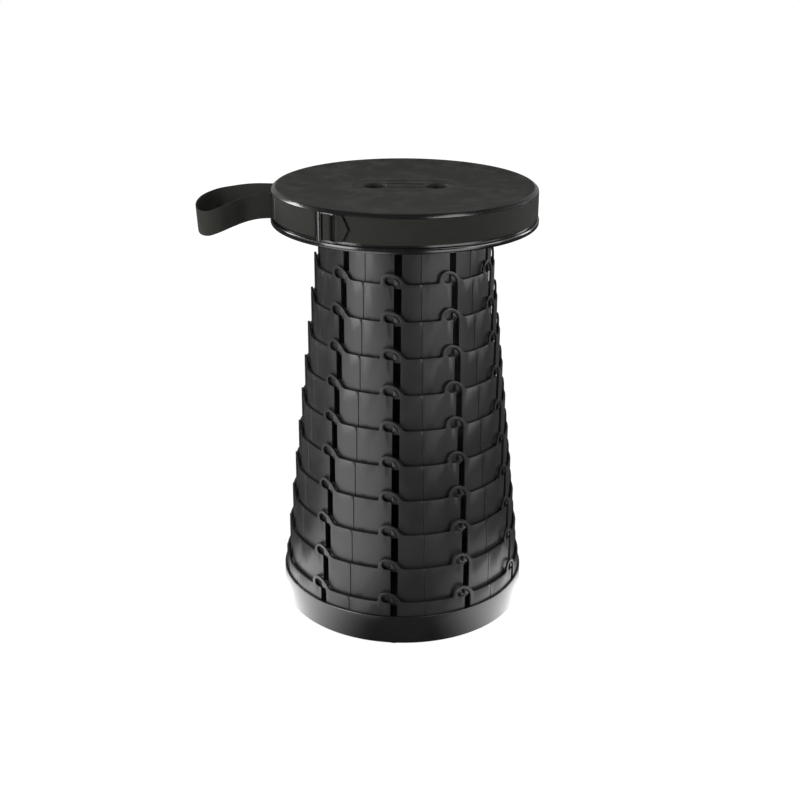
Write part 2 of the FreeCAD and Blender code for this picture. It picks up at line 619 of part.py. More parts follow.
def make_finger_holes(body):
    """Shallow field and two rounded finger holes with a short tube below each."""
    turn = "(Sizes.channel_azimuth * 1 deg)"
    round_end = "(Sizes.field_width / 2)"
    half = f"(Sizes.field_length / 2 - {round_end})"
    tubes = body_sketch(body, "FingerTubeOutline", "XY_Plane", "-Sizes.collar_drop")
    finger_circles(tubes, "(Sizes.finger_hole_radius + Sizes.finger_collar_wall)")
    pad(body, "FingerTubes", tubes, f"(Sizes.collar_drop + {PLATE_UNDER} + 0.5)")
    field = body_sketch(body, "FieldOutline", "XY_Plane", f"({DISH_LEVEL} - Sizes.field_depth)")

    def corner(x, y, *bend):
        return (f"({x} * cos{turn} + {y} * sin{turn})", f"({y} * cos{turn} - {x} * sin{turn})", *bend)

    draw(field, [
        corner(f"(-{half})", f"(-{round_end})"),
        corner(half, f"(-{round_end})", round_end, 1),
        corner(f"({half} + {round_end})", "0", round_end, 1),
        corner(half, round_end),
        corner(f"(-{half})", round_end, round_end, 1),
        corner(f"(-{half} - {round_end})", "0", round_end, 1),
    ])
    pocket(body, "Field", field, "(Sizes.field_depth + 3)")
    holes = body_sketch(body, "FingerHoleOutline", "XY_Plane", "(-Sizes.collar_drop - 1)")
    finger_circles(holes, "Sizes.finger_hole_radius")
    pocket(body, "FingerHoles", holes, "(Sizes.collar_drop + 2)")
    for name, side in (("LeftBevel", -1), ("RightBevel", 1)):
        bevel = body.newObject("PartDesign::SubtractiveCone", name)
        bind(bevel, Radius1="Sizes.finger_hole_radius",
             Radius2="(Sizes.finger_hole_radius + 2 * Sizes.finger_hole_slope)",
             Height="(2 * Sizes.finger_hole_slope)",
             Placement__Base__x=f"{side} * Sizes.finger_hole_offset * cos{turn}",
             Placement__Base__y=f"{-side} * Sizes.finger_hole_offset * sin{turn}",
             Placement__Base__z=f"{DISH_LEVEL} - Sizes.field_depth - Sizes.finger_hole_slope")


def make_screws(doc):
    """Screws that hold the collar's flange to the bosses of the seat plate."""
    under_flange = f"({SEAT_TOP} - Sizes.collar_drop - Sizes.collar_flange)"
    screws = []
    for index in range(int(VALUES["screw_count"])):
        shank = cylinder(doc, f"ScrewShank{index}", "Sizes.screw_radius", "Sizes.screw_length")
        on_circle(shank, index, "Sizes.screw_count", "Sizes.screw_circle", under_flange)
        head = cylinder(doc, f"ScrewHead{index}", "Sizes.screw_head_radius", "Sizes.screw_head")
        on_circle(head, index, "Sizes.screw_count", "Sizes.screw_circle", f"({under_flange} - Sizes.screw_head)")
        screws.append(combine(doc, "Part::Fuse", f"Screw{index}", head, shank))
    group = doc.addObject("Part::Compound", "seat_screws")
    group.Links = screws
    return group


def make_band(doc):
    """Band of webbing that lies in the skirt's recess all round."""
    low = f"({SEAT_TOP} - Sizes.strap_drop - Sizes.strap_width)"
    return tube(doc, "strap_band", BAND_INNER, BAND_OUTER, "Sizes.strap_width", low)


def front_prism(doc, name, corners, holes=()):
    """Prism towards the front of an outline of x and height, turned to the slider's azimuth."""
    sketch = doc.addObject("Sketcher::SketchObject", f"{name}Outline")
    for outline in (corners, *holes):
        draw(sketch, outline)
    sketch.Placement.Rotation = FreeCAD.Rotation(FreeCAD.Vector(1, 0, 0), 90)
    prism = doc.addObject("Part::Extrusion", name)
    prism.Base = sketch
    prism.DirMode = "Normal"
    prism.Solid = True
    prism.LengthFwd = REACH
    prism.Placement.Rotation = FreeCAD.Rotation(FreeCAD.Vector(0, 0, 1), 0)
    prism.setExpression("Placement.Rotation.Angle", "Sizes.slider_azimuth")
    return prism


def rectangle(left, right, low, high):
    """Corners of a rectangle, counter-clockwise."""
    return [(left, low), (right, low), (right, high), (left, high)]


def make_slider(doc):
    """Slider buckle: a curved plate with two slots beside a middle bar."""
    middle = f"({SEAT_TOP} - (Sizes.lip_top_drop + Sizes.seat_rim_drop) / 2)"
    half = "(Sizes.slider_width / 2)"
    tall = "(Sizes.slider_height / 2)"
    slot = "(Sizes.slider_slot_height / 2)"
    out = f"({half} - Sizes.slider_side_bar)"
    near = "(Sizes.slider_middle_bar / 2)"
    prism = front_prism(
        doc, "SliderPlate", rectangle(f"-{half}", half, f"({middle} - {tall})", f"({middle} + {tall})"),
        [
            rectangle(f"-{out}", f"-{near}", f"({middle} - {slot})", f"({middle} + {slot})"),
            rectangle(near, out, f"({middle} - {slot})", f"({middle} + {slot})"),
        ],
    )
    inner = f"({BAND_OUTER} + Sizes.strap_gap)"
    shell = tube(doc, "SliderShell", inner, f"({inner} + Sizes.slider_thickness)",
                 "(Sizes.slider_height + 4)", f"({middle} - {tall} - 2)")
    return combine(doc, "Part::Common", "slider_buckle", shell, prism)


def make_tail(doc):
    """Pointed free end of the strap, which comes out of the slider and lies on the band."""
    middle = f"({SEAT_TOP} - Sizes.strap_drop - Sizes.strap_width / 2)"
    half = "(Sizes.strap_width / 2)"
    start = "(Sizes.slider_width / 2 + Sizes.strap_gap)"
    tip = f"({start} + Sizes.tail_length)"
    shoulder = f"({tip} - Sizes.tail_point)"
    prism = front_prism(doc, "TailPlate", [
        (start, f"({middle} - {half})"),
        (shoulder, f"({middle} - {half})"),
        (tip, middle),
        (shoulder, f"({middle} + {half})"),
        (start, f"({middle} + {half})"),
    ])
    inner = f"({BAND_OUTER} + Sizes.strap_gap)"
    shell = tube(doc, "TailShell", inner, f"({inner} + Sizes.tail_thickness)",
                 "(Sizes.strap_width + 4)", f"({middle} - {half} - 2)")
    return combine(doc, "Part::Common", "strap_tail", shell, prism)


def loop_outline(offset):
    """Plan of the carry loop's edge: a round outer bend and two strands back to the roots.

    The loop points along -Y before it is turned. Its strands touch the bend where their
    lines are tangent to it.
    """
    bend = f"(Sizes.loop_bend_radius {offset})"
    far = f"({BAND_OUTER} + Sizes.loop_reach - Sizes.loop_bend_radius)"
    root = f"({BAND_OUTER} - 12)"
    half = f"(Sizes.loop_spread / 2 {offset})"
    away = f"({far} - {root})"
    reach = f"sqrt({away} ^ 2 + {half} ^ 2)"
    turn = f"(asin({half} / {reach}) + asin({bend} / {reach}) - 90 deg)"
    touch_x = f"({bend} * cos({turn}))"
    touch_y = f"({far} + {bend} * sin({turn}))"
    return [
        (f"-{half}", f"-{root}"),
        (f"-{touch_x}", f"-{touch_y}", bend, 1),
        ("0", f"-({far} + {bend})", bend, 1),
        (touch_x, f"-{touch_y}"),
        (half, f"-{root}"),
    ]


def make_loop(doc):
    """Carry loop: a strip of webbing that stands out of the band and droops."""
    high = f"({SEAT_TOP} - Sizes.strap_drop)"
    edges = []
    for name, offset in (("LoopOuter", "+ 0"), ("LoopInner", "- Sizes.loop_thickness")):
        sketch = doc.addObject("Sketcher::SketchObject", f"{name}Outline")
        draw(sketch, loop_outline(offset))
        block = doc.addObject("Part::Extrusion", name)
        block.Base = sketch
        block.DirMode = "Normal"
        block.Solid = True
        block.LengthFwd = REACH * 2
        edges.append(block)
    strip = combine(doc, "Part::Cut", "LoopStrip", *edges)
    slab = doc.addObject("Part::Box", "LoopSlab")
    slab.Placement.Rotation = FreeCAD.Rotation(FreeCAD.Vector(1, 0, 0), 0)
    bind(slab, Length=f"{REACH}", Width=f"{REACH}",
         Height="Sizes.strap_width * cos(Sizes.loop_droop * 1 deg)",
         Placement__Rotation__Angle="Sizes.loop_droop",
         Placement__Base__x=f"-{REACH} / 2",
         Placement__Base__y=f"-{BAND_OUTER} - {REACH} * cos(Sizes.loop_droop * 1 deg)"
                            f" + Sizes.strap_width * sin(Sizes.loop_droop * 1 deg)",
         Placement__Base__z=f"{high} - Sizes.strap_width - {REACH} * sin(Sizes.loop_droop * 1 deg)")
    leaning = combine(doc, "Part::Common", "LoopLeaning", strip, slab)
    core = cylinder(doc, "LoopCore", f"({BAND_OUTER} + Sizes.loop_gap)", f"{REACH * 2}")
    trimmed = combine(doc, "Part::Cut", "strap_loop", leaning, core)
    trimmed.Placement.Rotation = FreeCAD.Rotation(FreeCAD.Vector(0, 0, 1), 0)
    trimmed.setExpression("Placement.Rotation.Angle", "Sizes.loop_azimuth")
    return trimmed


def check(doc, nodes):
    """Stop if any object failed or any piece isn't a valid solid."""
    for obj in doc.Objects:
        if "Invalid" in obj.State or "Error" in obj.State:
            raise RuntimeError(f"{obj.Label} failed: {obj.State}")
    for node in nodes:
        if node.Shape.isNull() or not node.Shape.isValid() or not node.Shape.Solids:
            raise RuntimeError(f"{node.Label} has no valid solid")


def main():
    """Build every piece, check it and write one STEP file for each."""
    doc = FreeCAD.newDocument("TelescopicStool")
    make_sheet(doc)
    rings = [make_ring(doc, number) for number in range(1, int(VALUES["ring_count"]) + 1)]
    nodes = [
        make_base_cup(doc), make_pads(doc), *rings, make_collar(doc), make_skirt(doc),
        make_seat_plate(doc), make_screws(doc), make_band(doc), make_slider(doc), make_tail(doc),
        make_loop(doc),
    ]
    doc.recompute()
    check(doc, nodes)
    os.makedirs("parts", exist_ok=True)
    for node in nodes:
        node.Shape.exportStep(f"parts/{node.Label}.step")
        print(f"{node.Label}: {len(node.Shape.Solids)} solid(s), {node.Shape.Volume / 1000:.1f} cm3, "
              f"{len(node.Shape.Faces)} faces, z {node.Shape.BoundBox.ZMin:.2f} to {node.Shape.BoundBox.ZMax:.2f}")


main()
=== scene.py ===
"""Looks of a collapsible telescopic stool: seat, slotted rings, base and webbing.

Every length is in metres. The stool stands on z = 0, its tubes share the Z axis and its
front looks towards -Y. An angle about the axis counts to the right of the front.
"""

from __future__ import annotations

import logging
import math
from dataclasses import dataclass
from enum import Enum
from typing import Callable, Iterable, Optional, Sequence, Union

import bmesh
import bpy
from bmesh.types import BMEdge, BMFace, BMVert
from mathutils import Matrix, Vector

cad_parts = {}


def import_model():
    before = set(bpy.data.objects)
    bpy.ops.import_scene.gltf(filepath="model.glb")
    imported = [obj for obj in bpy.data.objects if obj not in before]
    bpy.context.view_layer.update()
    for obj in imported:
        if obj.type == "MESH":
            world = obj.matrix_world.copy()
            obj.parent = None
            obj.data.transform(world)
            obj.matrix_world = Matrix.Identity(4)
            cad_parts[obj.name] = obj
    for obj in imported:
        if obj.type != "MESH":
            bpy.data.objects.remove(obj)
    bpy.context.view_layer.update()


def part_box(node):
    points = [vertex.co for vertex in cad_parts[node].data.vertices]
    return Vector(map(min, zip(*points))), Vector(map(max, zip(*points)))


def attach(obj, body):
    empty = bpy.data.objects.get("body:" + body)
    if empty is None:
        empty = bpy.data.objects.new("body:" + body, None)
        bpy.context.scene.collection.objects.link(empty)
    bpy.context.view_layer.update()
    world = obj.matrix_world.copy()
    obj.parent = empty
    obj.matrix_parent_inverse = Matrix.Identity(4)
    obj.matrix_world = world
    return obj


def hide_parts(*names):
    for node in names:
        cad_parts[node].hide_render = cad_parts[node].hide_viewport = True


LOG = logging.getLogger("stool")
FULL_TURN = 2.0 * math.pi
UP = Vector((0.0, 0.0, 1.0))
RIGHT = Vector((1.0, 0.0, 0.0))
BACK = Vector((0.0, 1.0, 0.0))
ORIGIN = Vector((0.0, 0.0, 0.0))
WHITE = (1.0, 1.0, 1.0, 1.0)
ROUND_SEGMENTS = 144

# Distances within which two vertices are one, and degrees past which an edge is sharp
WELD = 1e-7
JOIN = 1e-6
SHARP_ANGLE = 60.0
SHADING_ANGLE = 35.0

Span = tuple[float, float]
Colour = tuple[float, float, float]
Rounding = tuple[float, int]
Corner = tuple[float, float, Rounding]
Value = Union["Signal", float, int]
Placement = Callable[[float, float, float], Vector]

# Roundings: what each takes of the sides that meet there, and the faces across it
SHARP: Rounding = (0.0, 0)
HAIR: Rounding = (0.0002, 2)
FINE: Rounding = (0.0003, 2)
CLOTH: Rounding = (0.0004, 2)
SMALL: Rounding = (0.0005, 2)
SOFT: Rounding = (0.0006, 2)


class Slot(str, Enum):
    """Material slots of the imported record."""

    SEAT = "seat_plastic"
    RING = "ring_plastic"
    GLOSS = "gloss_plastic"
    WEBBING = "webbing"
    SLIDER = "slider_plastic"


def turned(angle: float) -> Matrix:
    """Turn about the stool's axis, in radians."""
    return Matrix.Rotation(angle, 4, "Z")


def polar(radius: float, angle: float, height: float) -> Vector:
    """Point at a radius, an angle and a height about the stool's axis."""
    return Vector((radius * math.sin(angle), -radius * math.cos(angle), height))


def upright(x: float, z: float) -> Vector:
    """Point of the XZ plane."""
    return Vector((x, 0.0, z))


def grey(value: float) -> Colour:
    """Neutral colour."""
    return value, value, value


def edges_of(verts: Iterable[BMVert]) -> list[BMEdge]:
    """Edges at some vertices, each once."""
    return list(dict.fromkeys(edge for vert in verts for edge in vert.link_edges))


def faces_of(verts: Iterable[BMVert]) -> list[BMFace]:
    """Faces at some vertices, each once."""
    return list(dict.fromkeys(face for vert in verts for face in vert.link_faces))


def verts_of(edges: Iterable[BMEdge]) -> list[BMVert]:
    """Vertices of some edges, each once."""
    return list(dict.fromkeys(vert for edge in edges for vert in edge.verts))


def operator(operation: str, swapped: bool = False) -> Callable[["Signal", Value], "Signal"]:
    """Operator of two values; swapped is for a number on the left."""

    def apply(self: "Signal", other: Value) -> "Signal":
        """Add one Math node for both values."""
        return self.maths(operation, other, self) if swapped else self.maths(operation, self, other)

    return apply


class Signal:
    """Output socket of a shader node that takes part in Python arithmetic."""

    __add__ = operator("ADD")
    __radd__ = operator("ADD", swapped=True)
    __sub__ = operator("SUBTRACT")
    __rsub__ = operator("SUBTRACT", swapped=True)
    __mul__ = operator("MULTIPLY")
    __truediv__ = operator("DIVIDE")
    __pow__ = operator("POWER")
    arctan2 = operator("ARCTAN2")

    def __init__(self, tree: "Tree", socket: bpy.types.NodeSocket) -> None:
        """Keep the socket and the tree that it belongs to."""
        self.tree = tree
        self.socket = socket

    def maths(self, operation: str, *values: Value) -> "Signal":
        """Add one Math node."""
        node = self.tree.node("ShaderNodeMath", dict(enumerate(values)), operation=operation)
        return Signal(self.tree, node.outputs[0])

    def absolute(self) -> "Signal":
        """Value without its sign."""
        return self.maths("ABSOLUTE", self)

    def fraction(self) -> "Signal":
        """Part after the decimal point, never negative."""
        return self.maths("FRACT", self)

    def over(self, low: float, high: float) -> "Signal":
        """Smooth step from 0 at low to 1 at high."""
        inputs = {"Value": self, "From Min": low, "From Max": high}
        node = self.tree.node("ShaderNodeMapRange", inputs, interpolation_type="SMOOTHSTEP")
        return Signal(self.tree, node.outputs["Result"])


class Tree:
    """Node tree of a material or a world, filled by calls."""

    def __init__(self, owner: Union[bpy.types.Material, bpy.types.World], output: str) -> None:
        """Empty the owner's tree and give it an output."""
        owner.use_nodes = True
        self.tree = owner.node_tree
        self.tree.nodes.clear()
        self.output = self.tree.nodes.new(output)

    def feed(self, target: bpy.types.NodeSocket, value: object) -> None:
        """Link a signal or an output to a socket, or set the socket's own value."""
        if isinstance(value, Signal):
            value = value.socket
        if isinstance(value, bpy.types.NodeSocket):
            self.tree.links.new(value, target)
        else:
            target.default_value = value

    def node(self, kind: str, inputs: Optional[dict] = None, **settings: object) -> bpy.types.Node:
        """Add a node.

        Args:
            kind: The node's type.
            inputs: Values or links of its sockets, by name or number.
            **settings: Its properties, set first.

        Returns:
            The new node.
        """
        made = self.tree.nodes.new(kind)
        for name, value in settings.items():
            setattr(made, name, value)
        for key, value in (inputs or {}).items():
            self.feed(made.inputs[key], value)
        return made

    def show(self, shader: bpy.types.NodeSocket) -> None:
        """Link a shader to the output."""
        self.feed(self.output.inputs["Surface"], shader)

    def mix(self, share: Value, first: object, second: object) -> bpy.types.NodeSocket:
        """Mix of two shaders."""
        return self.node("ShaderNodeMixShader", {0: share, 1: first, 2: second}).outputs["Shader"]

    def parts(self, vector: bpy.types.NodeSocket) -> list[Signal]:
        """The three values of a vector."""
        split = self.node("ShaderNodeSeparateXYZ", {"Vector": vector})
        return [Signal(self, split.outputs[axis]) for axis in "XYZ"]

    def of_ray(self, kind: str) -> bpy.types.NodeSocket:
        """Whether a ray is of a kind, such as a camera ray."""
        return self.node("ShaderNodeLightPath").outputs[f"Is {kind} Ray"]


class Graph(Tree):
    """Node tree of one material, with a Principled shader on its output."""

    FIRST_COLOUR = 6
    SECOND_COLOUR = 7
    MIXED_COLOUR = 2

    def __init__(self, name: str) -> None:
        """Start a material."""
        self.material = bpy.data.materials.new(name)
        super().__init__(self.material, "ShaderNodeOutputMaterial")
        self.shader = self.node("ShaderNodeBsdfPrincipled")
        self.show(self.shader.outputs["BSDF"])

    def surface(self, **values: object) -> None:
        """Set sockets of the shader, with underscores for blanks."""
        for name, value in values.items():
            self.feed(self.shader.inputs[name.replace("_", " ")], value)

    def place(self) -> bpy.types.NodeSocket:
        """Object coordinates."""
        return self.node("ShaderNodeTexCoord").outputs["Object"]

    def strip(self) -> tuple[Signal, Signal]:
        """Length along a strap and across it, from the piece's own UV map, in metres."""
        along, across, _ = self.parts(self.node("ShaderNodeUVMap", uv_map="strap").outputs["UV"])
        return along, across

    def noise(self, vector: object, scale: float = 1.0, detail: float = 2.0, rough: float = 0.5) -> Signal:
        """Noise of a scale per metre."""
        inputs = {"Vector": vector, "Scale": scale, "Detail": detail, "Roughness": rough}
        return Signal(self, self.node("ShaderNodeTexNoise", inputs).outputs["Fac"])

    def vector(self, x: Value, y: Value, z: Value) -> bpy.types.NodeSocket:
        """Vector of three values."""
        return self.node("ShaderNodeCombineXYZ", {"X": x, "Y": y, "Z": z}).outputs["Vector"]

    def blend(self, share: Value, first: Colour, second: Colour) -> bpy.types.NodeSocket:
        """Mix of two colours."""
        inputs = {0: share, self.FIRST_COLOUR: (*first, 1.0), self.SECOND_COLOUR: (*second, 1.0)}
        return self.node("ShaderNodeMix", inputs, data_type="RGBA").outputs[self.MIXED_COLOUR]

    def glow(self, colour: object, strength: float = 1.0) -> bpy.types.NodeSocket:
        """Shader that gives off light."""
        return self.node("ShaderNodeEmission", {"Color": colour, "Strength": strength}).outputs["Emission"]

    def bump(self, height: Value, depth: float, strength: float) -> None:
        """Drive the shader's normal by a height from 0 to 1.

        Args:
            height: The relief.
            depth: What a height of 1 stands for.
            strength: How much of it shows.
        """
        inputs = {"Height": height, "Distance": depth, "Strength": strength}
        self.surface(Normal=self.node("ShaderNodeBump", inputs).outputs["Normal"])


@dataclass(frozen=True)
class MouldedPlastic:
    """Black plastic with a fine moulded grain, rubbed paler in clouds."""

    name: str
    colour: Colour
    worn: Colour
    roughness: float
    specular: float = 0.5
    grain_scale: float = 2600.0
    grain_depth: float = 0.00004
    grain_strength: float = 0.6
    grain_roughness: float = 0.05
    cloud_scale: float = 14.0
    cloud_detail: float = 4.0
    cloud_rough: float = 0.6
    rubbed_span: Span = (0.42, 0.68)
    rubbed_roughness: float = 0.06

    def make(self) -> bpy.types.Material:
        """Build the material."""
        graph = Graph(self.name)
        vector = graph.place()
        cloud = graph.noise(vector, self.cloud_scale, self.cloud_detail, self.cloud_rough)
        grain = graph.noise(vector, self.grain_scale)
        rubbed = cloud.over(*self.rubbed_span)
        uneven = rubbed * self.rubbed_roughness + (grain - 0.5) * self.grain_roughness
        graph.surface(
            Base_Color=graph.blend(rubbed, self.colour, self.worn),
            Roughness=uneven + self.roughness,
            Specular_IOR_Level=self.specular,
        )
        graph.bump(grain, self.grain_depth, self.grain_strength)
        return graph.material


def thread_arch(place: Signal) -> Signal:
    """Height of a round thread at a place from 0 to 1 across it."""
    return 1.0 - ((place - 0.5) * 2.0).absolute() ** 2.0


@dataclass(frozen=True)
class WovenWebbing:
    """Flat webbing: fine ribs across the strap, warp yarns along it and two selvedges."""

    name: str = "webbing_black"
    dark: Colour = (0.006, 0.006, 0.005)
    light: Colour = (0.0215, 0.022, 0.0185)
    width: float = 0.0248
    yarn: float = 0.00105
    rib: float = 0.0016
    selvedge: float = 0.0011
    odd_yarn: Span = (0.49, 0.51)
    fibre_scale: Span = (900.0, 5200.0)
    fibre_detail: float = 3.0
    fibre_rough: float = 0.6
    wave_scale: Span = (30.0, 90.0)
    relief: float = 0.00022
    relief_strength: float = 0.8
    height_shares: tuple[float, float, float] = (0.75, 0.2, 0.2)
    # Shares of the colour: weave (painted highlight and shade on the yarns), fibre and wave (random tone).
    tone_and_groove_shade_shares: tuple[float, float, float] = (0.55, 0.3, 0.2)
    roughness: float = 0.62
    fibre_roughness: float = 0.25
    specular: float = 0.12

    def make(self) -> bpy.types.Material:
        """Build the material on the strap's own UV map."""
        graph = Graph(self.name)
        along, across = graph.strip()
        odd = (across / (2.0 * self.yarn)).fraction().over(*self.odd_yarn)
        weave = thread_arch((across / self.yarn).fraction())
        weave = weave * thread_arch((along / self.rib + odd * 0.5).fraction())
        half = self.width / 2
        edge = (across - half).absolute().over(half - self.selvedge, half)
        fibre, wave = (
            graph.noise(graph.vector(along * scale[0], across * scale[1], 0.0), 1.0, detail, rough)
            for scale, detail, rough in (
                (self.fibre_scale, self.fibre_detail, self.fibre_rough), (self.wave_scale, 2.0, 0.5),
            )
        )
        by_weave, by_fibre, by_edge = self.height_shares
        height = weave * by_weave + fibre * by_fibre + edge * by_edge
        # Colour: paler on the yarn crowns and darker in the grooves between yarns, a painted highlight and
        # shade; fibre and wave add random tone.
        by_weave, by_fibre, by_wave = self.tone_and_groove_shade_shares
        tone_and_groove_shade = weave * by_weave + fibre * by_fibre + wave * by_wave
        graph.surface(
            Base_Color=graph.blend(tone_and_groove_shade, self.dark, self.light),
            Roughness=self.roughness + fibre * self.fibre_roughness,
            Specular_IOR_Level=self.specular,
        )
        graph.bump(height, self.relief, self.relief_strength)
        return graph.material


@dataclass(frozen=True)
class NoisyFinish:
    """Finish with one fine noise, used for thread and for plated steel."""

    name: str
    dark: Colour
    light: Colour
    scale: float
    detail: float
    roughness: float
    roughness_spread: float
    metallic: float
    relief: float
    relief_strength: float

    def make(self) -> bpy.types.Material:
        """Build the material."""
        graph = Graph(self.name)
        marks = graph.noise(graph.place(), self.scale, self.detail)
        uneven = marks * self.roughness_spread + self.roughness if self.roughness_spread else self.roughness
        graph.surface(
            Base_Color=graph.blend(marks, self.dark, self.light), Metallic=self.metallic, Roughness=uneven,
        )
        graph.bump(marks, self.relief, self.relief_strength)
        return graph.material


@dataclass
class Paints:
    """The finished materials, one of each."""

    seat: bpy.types.Material
    ring: bpy.types.Material
    gloss: bpy.types.Material
    base: bpy.types.Material
    slider: bpy.types.Material
    painted_shade_sheet: bpy.types.Material
    webbing: bpy.types.Material
    thread: bpy.types.Material
    rubber: bpy.types.Material
    steel: bpy.types.Material

    @classmethod
    def mix(cls) -> "Paints":
        """Build every material of the stool."""
        finishes = {
            "seat": MouldedPlastic(
                "seat_satin", (0.0095, 0.0102, 0.0078), (0.0262, 0.028, 0.0222), roughness=0.6,
                specular=0.22, grain_scale=900.0, grain_depth=0.00016, cloud_scale=48.0,
            ),
            "ring": MouldedPlastic(
                "ring_satin", grey(0.012), grey(0.016), roughness=0.36, specular=0.34, grain_depth=0.00003,
            ),
            "gloss": MouldedPlastic(
                "lip_gloss", grey(0.005), grey(0.007), roughness=0.16, grain_depth=0.00001,
            ),
            "base": MouldedPlastic(
                "base_gloss", grey(0.006), grey(0.008), roughness=0.2, grain_depth=0.00001,
            ),
            "slider": MouldedPlastic("slider_gloss", grey(0.004), grey(0.006), roughness=0.24),
            # Near-black dull finish of the sheet under the slider: painted shade.
            "painted_shade_sheet": MouldedPlastic("slider_painted_shade", grey(0.002), grey(0.003), roughness=0.8, specular=0.1),
            "webbing": WovenWebbing(),
            "thread": NoisyFinish(
                "thread_black", (0.04, 0.04, 0.037), (0.15, 0.15, 0.14), scale=3000.0, detail=3.0,
                roughness=0.5, roughness_spread=0.0, metallic=0.0, relief=0.0001, relief_strength=0.5,
            ),
            "rubber": MouldedPlastic(
                "rubber_pads", grey(0.012), grey(0.02), roughness=0.75, specular=0.3, grain_scale=900.0,
                grain_depth=0.0001,
            ),
            "steel": NoisyFinish(
                "steel_plated", (0.42, 0.42, 0.43), grey(0.6), scale=1800.0, detail=3.0,
                roughness=0.26, roughness_spread=0.18, metallic=1.0, relief=0.00003, relief_strength=0.4,
            ),
        }
        return cls(**{name: finish.make() for name, finish in finishes.items()})


class Piece:
    """One named mesh under construction."""

    def __init__(self, name: str) -> None:
        """Start an empty mesh."""
        self.name = name
        self.bm = bmesh.new()

    def everything(self) -> list[Union[BMVert, BMEdge, BMFace]]:
        """All vertices, edges and faces."""
        return self.bm.verts[:] + self.bm.edges[:] + self.bm.faces[:]

    def edges_past(self, before: set[BMEdge]) -> list[BMEdge]:
        """Edges that aren't in a set."""
        return [edge for edge in self.bm.edges if edge not in before]

    def weld(self, distance: float = JOIN, verts: Optional[Sequence[BMVert]] = None) -> None:
        """Join vertices that lie on one another, of all or of some."""
        bmesh.ops.remove_doubles(self.bm, verts=self.bm.verts if verts is None else verts, dist=distance)

    def move(self, way: Vector, verts: Optional[Sequence[BMVert]] = None) -> None:
        """Shift all vertices, or some."""
        bmesh.ops.translate(self.bm, verts=self.bm.verts if verts is None else verts, vec=way)

    def outward(self) -> None:
        """Let every face look outwards."""
        bmesh.ops.recalc_face_normals(self.bm, faces=self.bm.faces)

    def cut(self, point: Vector, normal: Vector) -> None:
        """Add edges where a plane meets the piece."""
        bmesh.ops.bisect_plane(self.bm, geom=self.everything(), dist=WELD, plane_co=point, plane_no=normal)

    def fill(self, edges: Sequence[BMEdge]) -> None:
        """Fill a flat region between loops of edges."""
        bmesh.ops.triangle_fill(self.bm, edges=edges, use_beauty=True, use_dissolve=False)

    def bridge(self, first: list[BMEdge], second: list[BMEdge]) -> None:
        """Faces between two loops of edges."""
        bmesh.ops.bridge_loops(self.bm, edges=first + second)

    def grow(self, faces: Sequence[BMFace], keep: bool = True) -> list[BMVert]:
        """Extrude a region of faces and return its new vertices; keep leaves the old faces."""
        made = bmesh.ops.extrude_face_region(self.bm, geom=faces, use_keep_orig=keep)
        return [item for item in made["geom"] if isinstance(item, BMVert)]

    def drop_faces(self, test: Callable[[BMFace], bool]) -> None:
        """Take away the faces that pass a test."""
        chosen = [face for face in self.bm.faces if test(face)]
        bmesh.ops.delete(self.bm, geom=chosen, context="FACES")

    def bevel(self, geometry: Sequence[object], rounding: Rounding, affect: str = "EDGES",
              clamp: bool = True, slide: bool = False) -> None:
        """Round edges or vertices.

        Args:
            geometry: The edges or vertices.
            rounding: Its size and the faces across it.
            affect: EDGES or VERTICES.
            clamp: Whether roundings stop where they meet.
            slide: Whether corners slide along unrounded edges.
        """
        offset, segments = rounding
        bmesh.ops.bevel(
            self.bm, geom=geometry, offset=offset, offset_type="OFFSET", segments=segments, profile=0.5,
            affect=affect, clamp_overlap=clamp, material=-1, loop_slide=slide,
        )

    def soften(self, rounding: Rounding, least: float = SHARP_ANGLE,
               chosen: Callable[[BMEdge], bool] = lambda edge: True) -> None:
        """Round sharp edges.

        Args:
            rounding: Its size and the faces across it.
            least: Smallest angle between two faces, in degrees, that counts as sharp.
            chosen: Further test that an edge has to pass.
        """
        self.bm.normal_update()
        limit = math.radians(least)
        self.bevel(
            [e for e in self.bm.edges if e.is_manifold and e.calc_face_angle(0.0) > limit and chosen(e)],
            rounding, slide=True,
        )

    def outline(self, corners: Sequence[Corner], place: Callable[[float, float], Vector] = upright,
                closed: bool = True, distance: float = WELD) -> list[BMEdge]:
        """Outline whose corners are rounded by the bevel operator.

        Args:
            corners: Two coordinates and the rounding of each corner.
            place: Turns the two coordinates into a point.
            closed: Whether the last corner joins the first.
            distance: Vertices nearer than this become one.

        Returns:
            The outline's edges.
        """
        before = set(self.bm.edges)
        verts = [self.bm.verts.new(place(x, y)) for x, y, _ in corners]
        for pair in zip(verts, verts[1:] + (verts[:1] if closed else [])):
            self.bm.edges.new(pair)
        for vert, (_, _, rounding) in zip(verts, corners):
            if rounding != SHARP:
                self.bevel([vert], rounding, affect="VERTICES", clamp=False)
        self.weld(distance, verts_of(self.edges_past(before)))
        return self.edges_past(before)

    def turn(self, corners: Sequence[Corner], closed: bool = True, segments: int = ROUND_SEGMENTS) -> None:
        """Spin a profile with rounded corners about the stool's axis.

        Args:
            corners: Radius, height and rounding of each corner.
            closed: Whether the profile is a closed outline.
            segments: Faces round the axis.
        """
        profile = self.outline(corners, closed=closed)
        bmesh.ops.spin(
            self.bm, geom=verts_of(profile) + profile, cent=ORIGIN, axis=UP, dvec=ORIGIN, angle=FULL_TURN,
            steps=segments, use_merge=True, use_normal_flip=False, use_duplicate=False,
        )

    def repeat(self, verts: Sequence[BMVert], first: float, count: int) -> None:
        """Turn vertices to a first angle, then copy them with their faces all round the axis."""
        bmesh.ops.rotate(self.bm, verts=verts, cent=ORIGIN, matrix=turned(first).to_3x3())
        bmesh.ops.spin(
            self.bm, geom=[*verts, *edges_of(verts), *faces_of(verts)], cent=ORIGIN, axis=UP, dvec=ORIGIN,
            angle=FULL_TURN / count * (count - 1), steps=count - 1, use_merge=False,
            use_normal_flip=False, use_duplicate=True,
        )

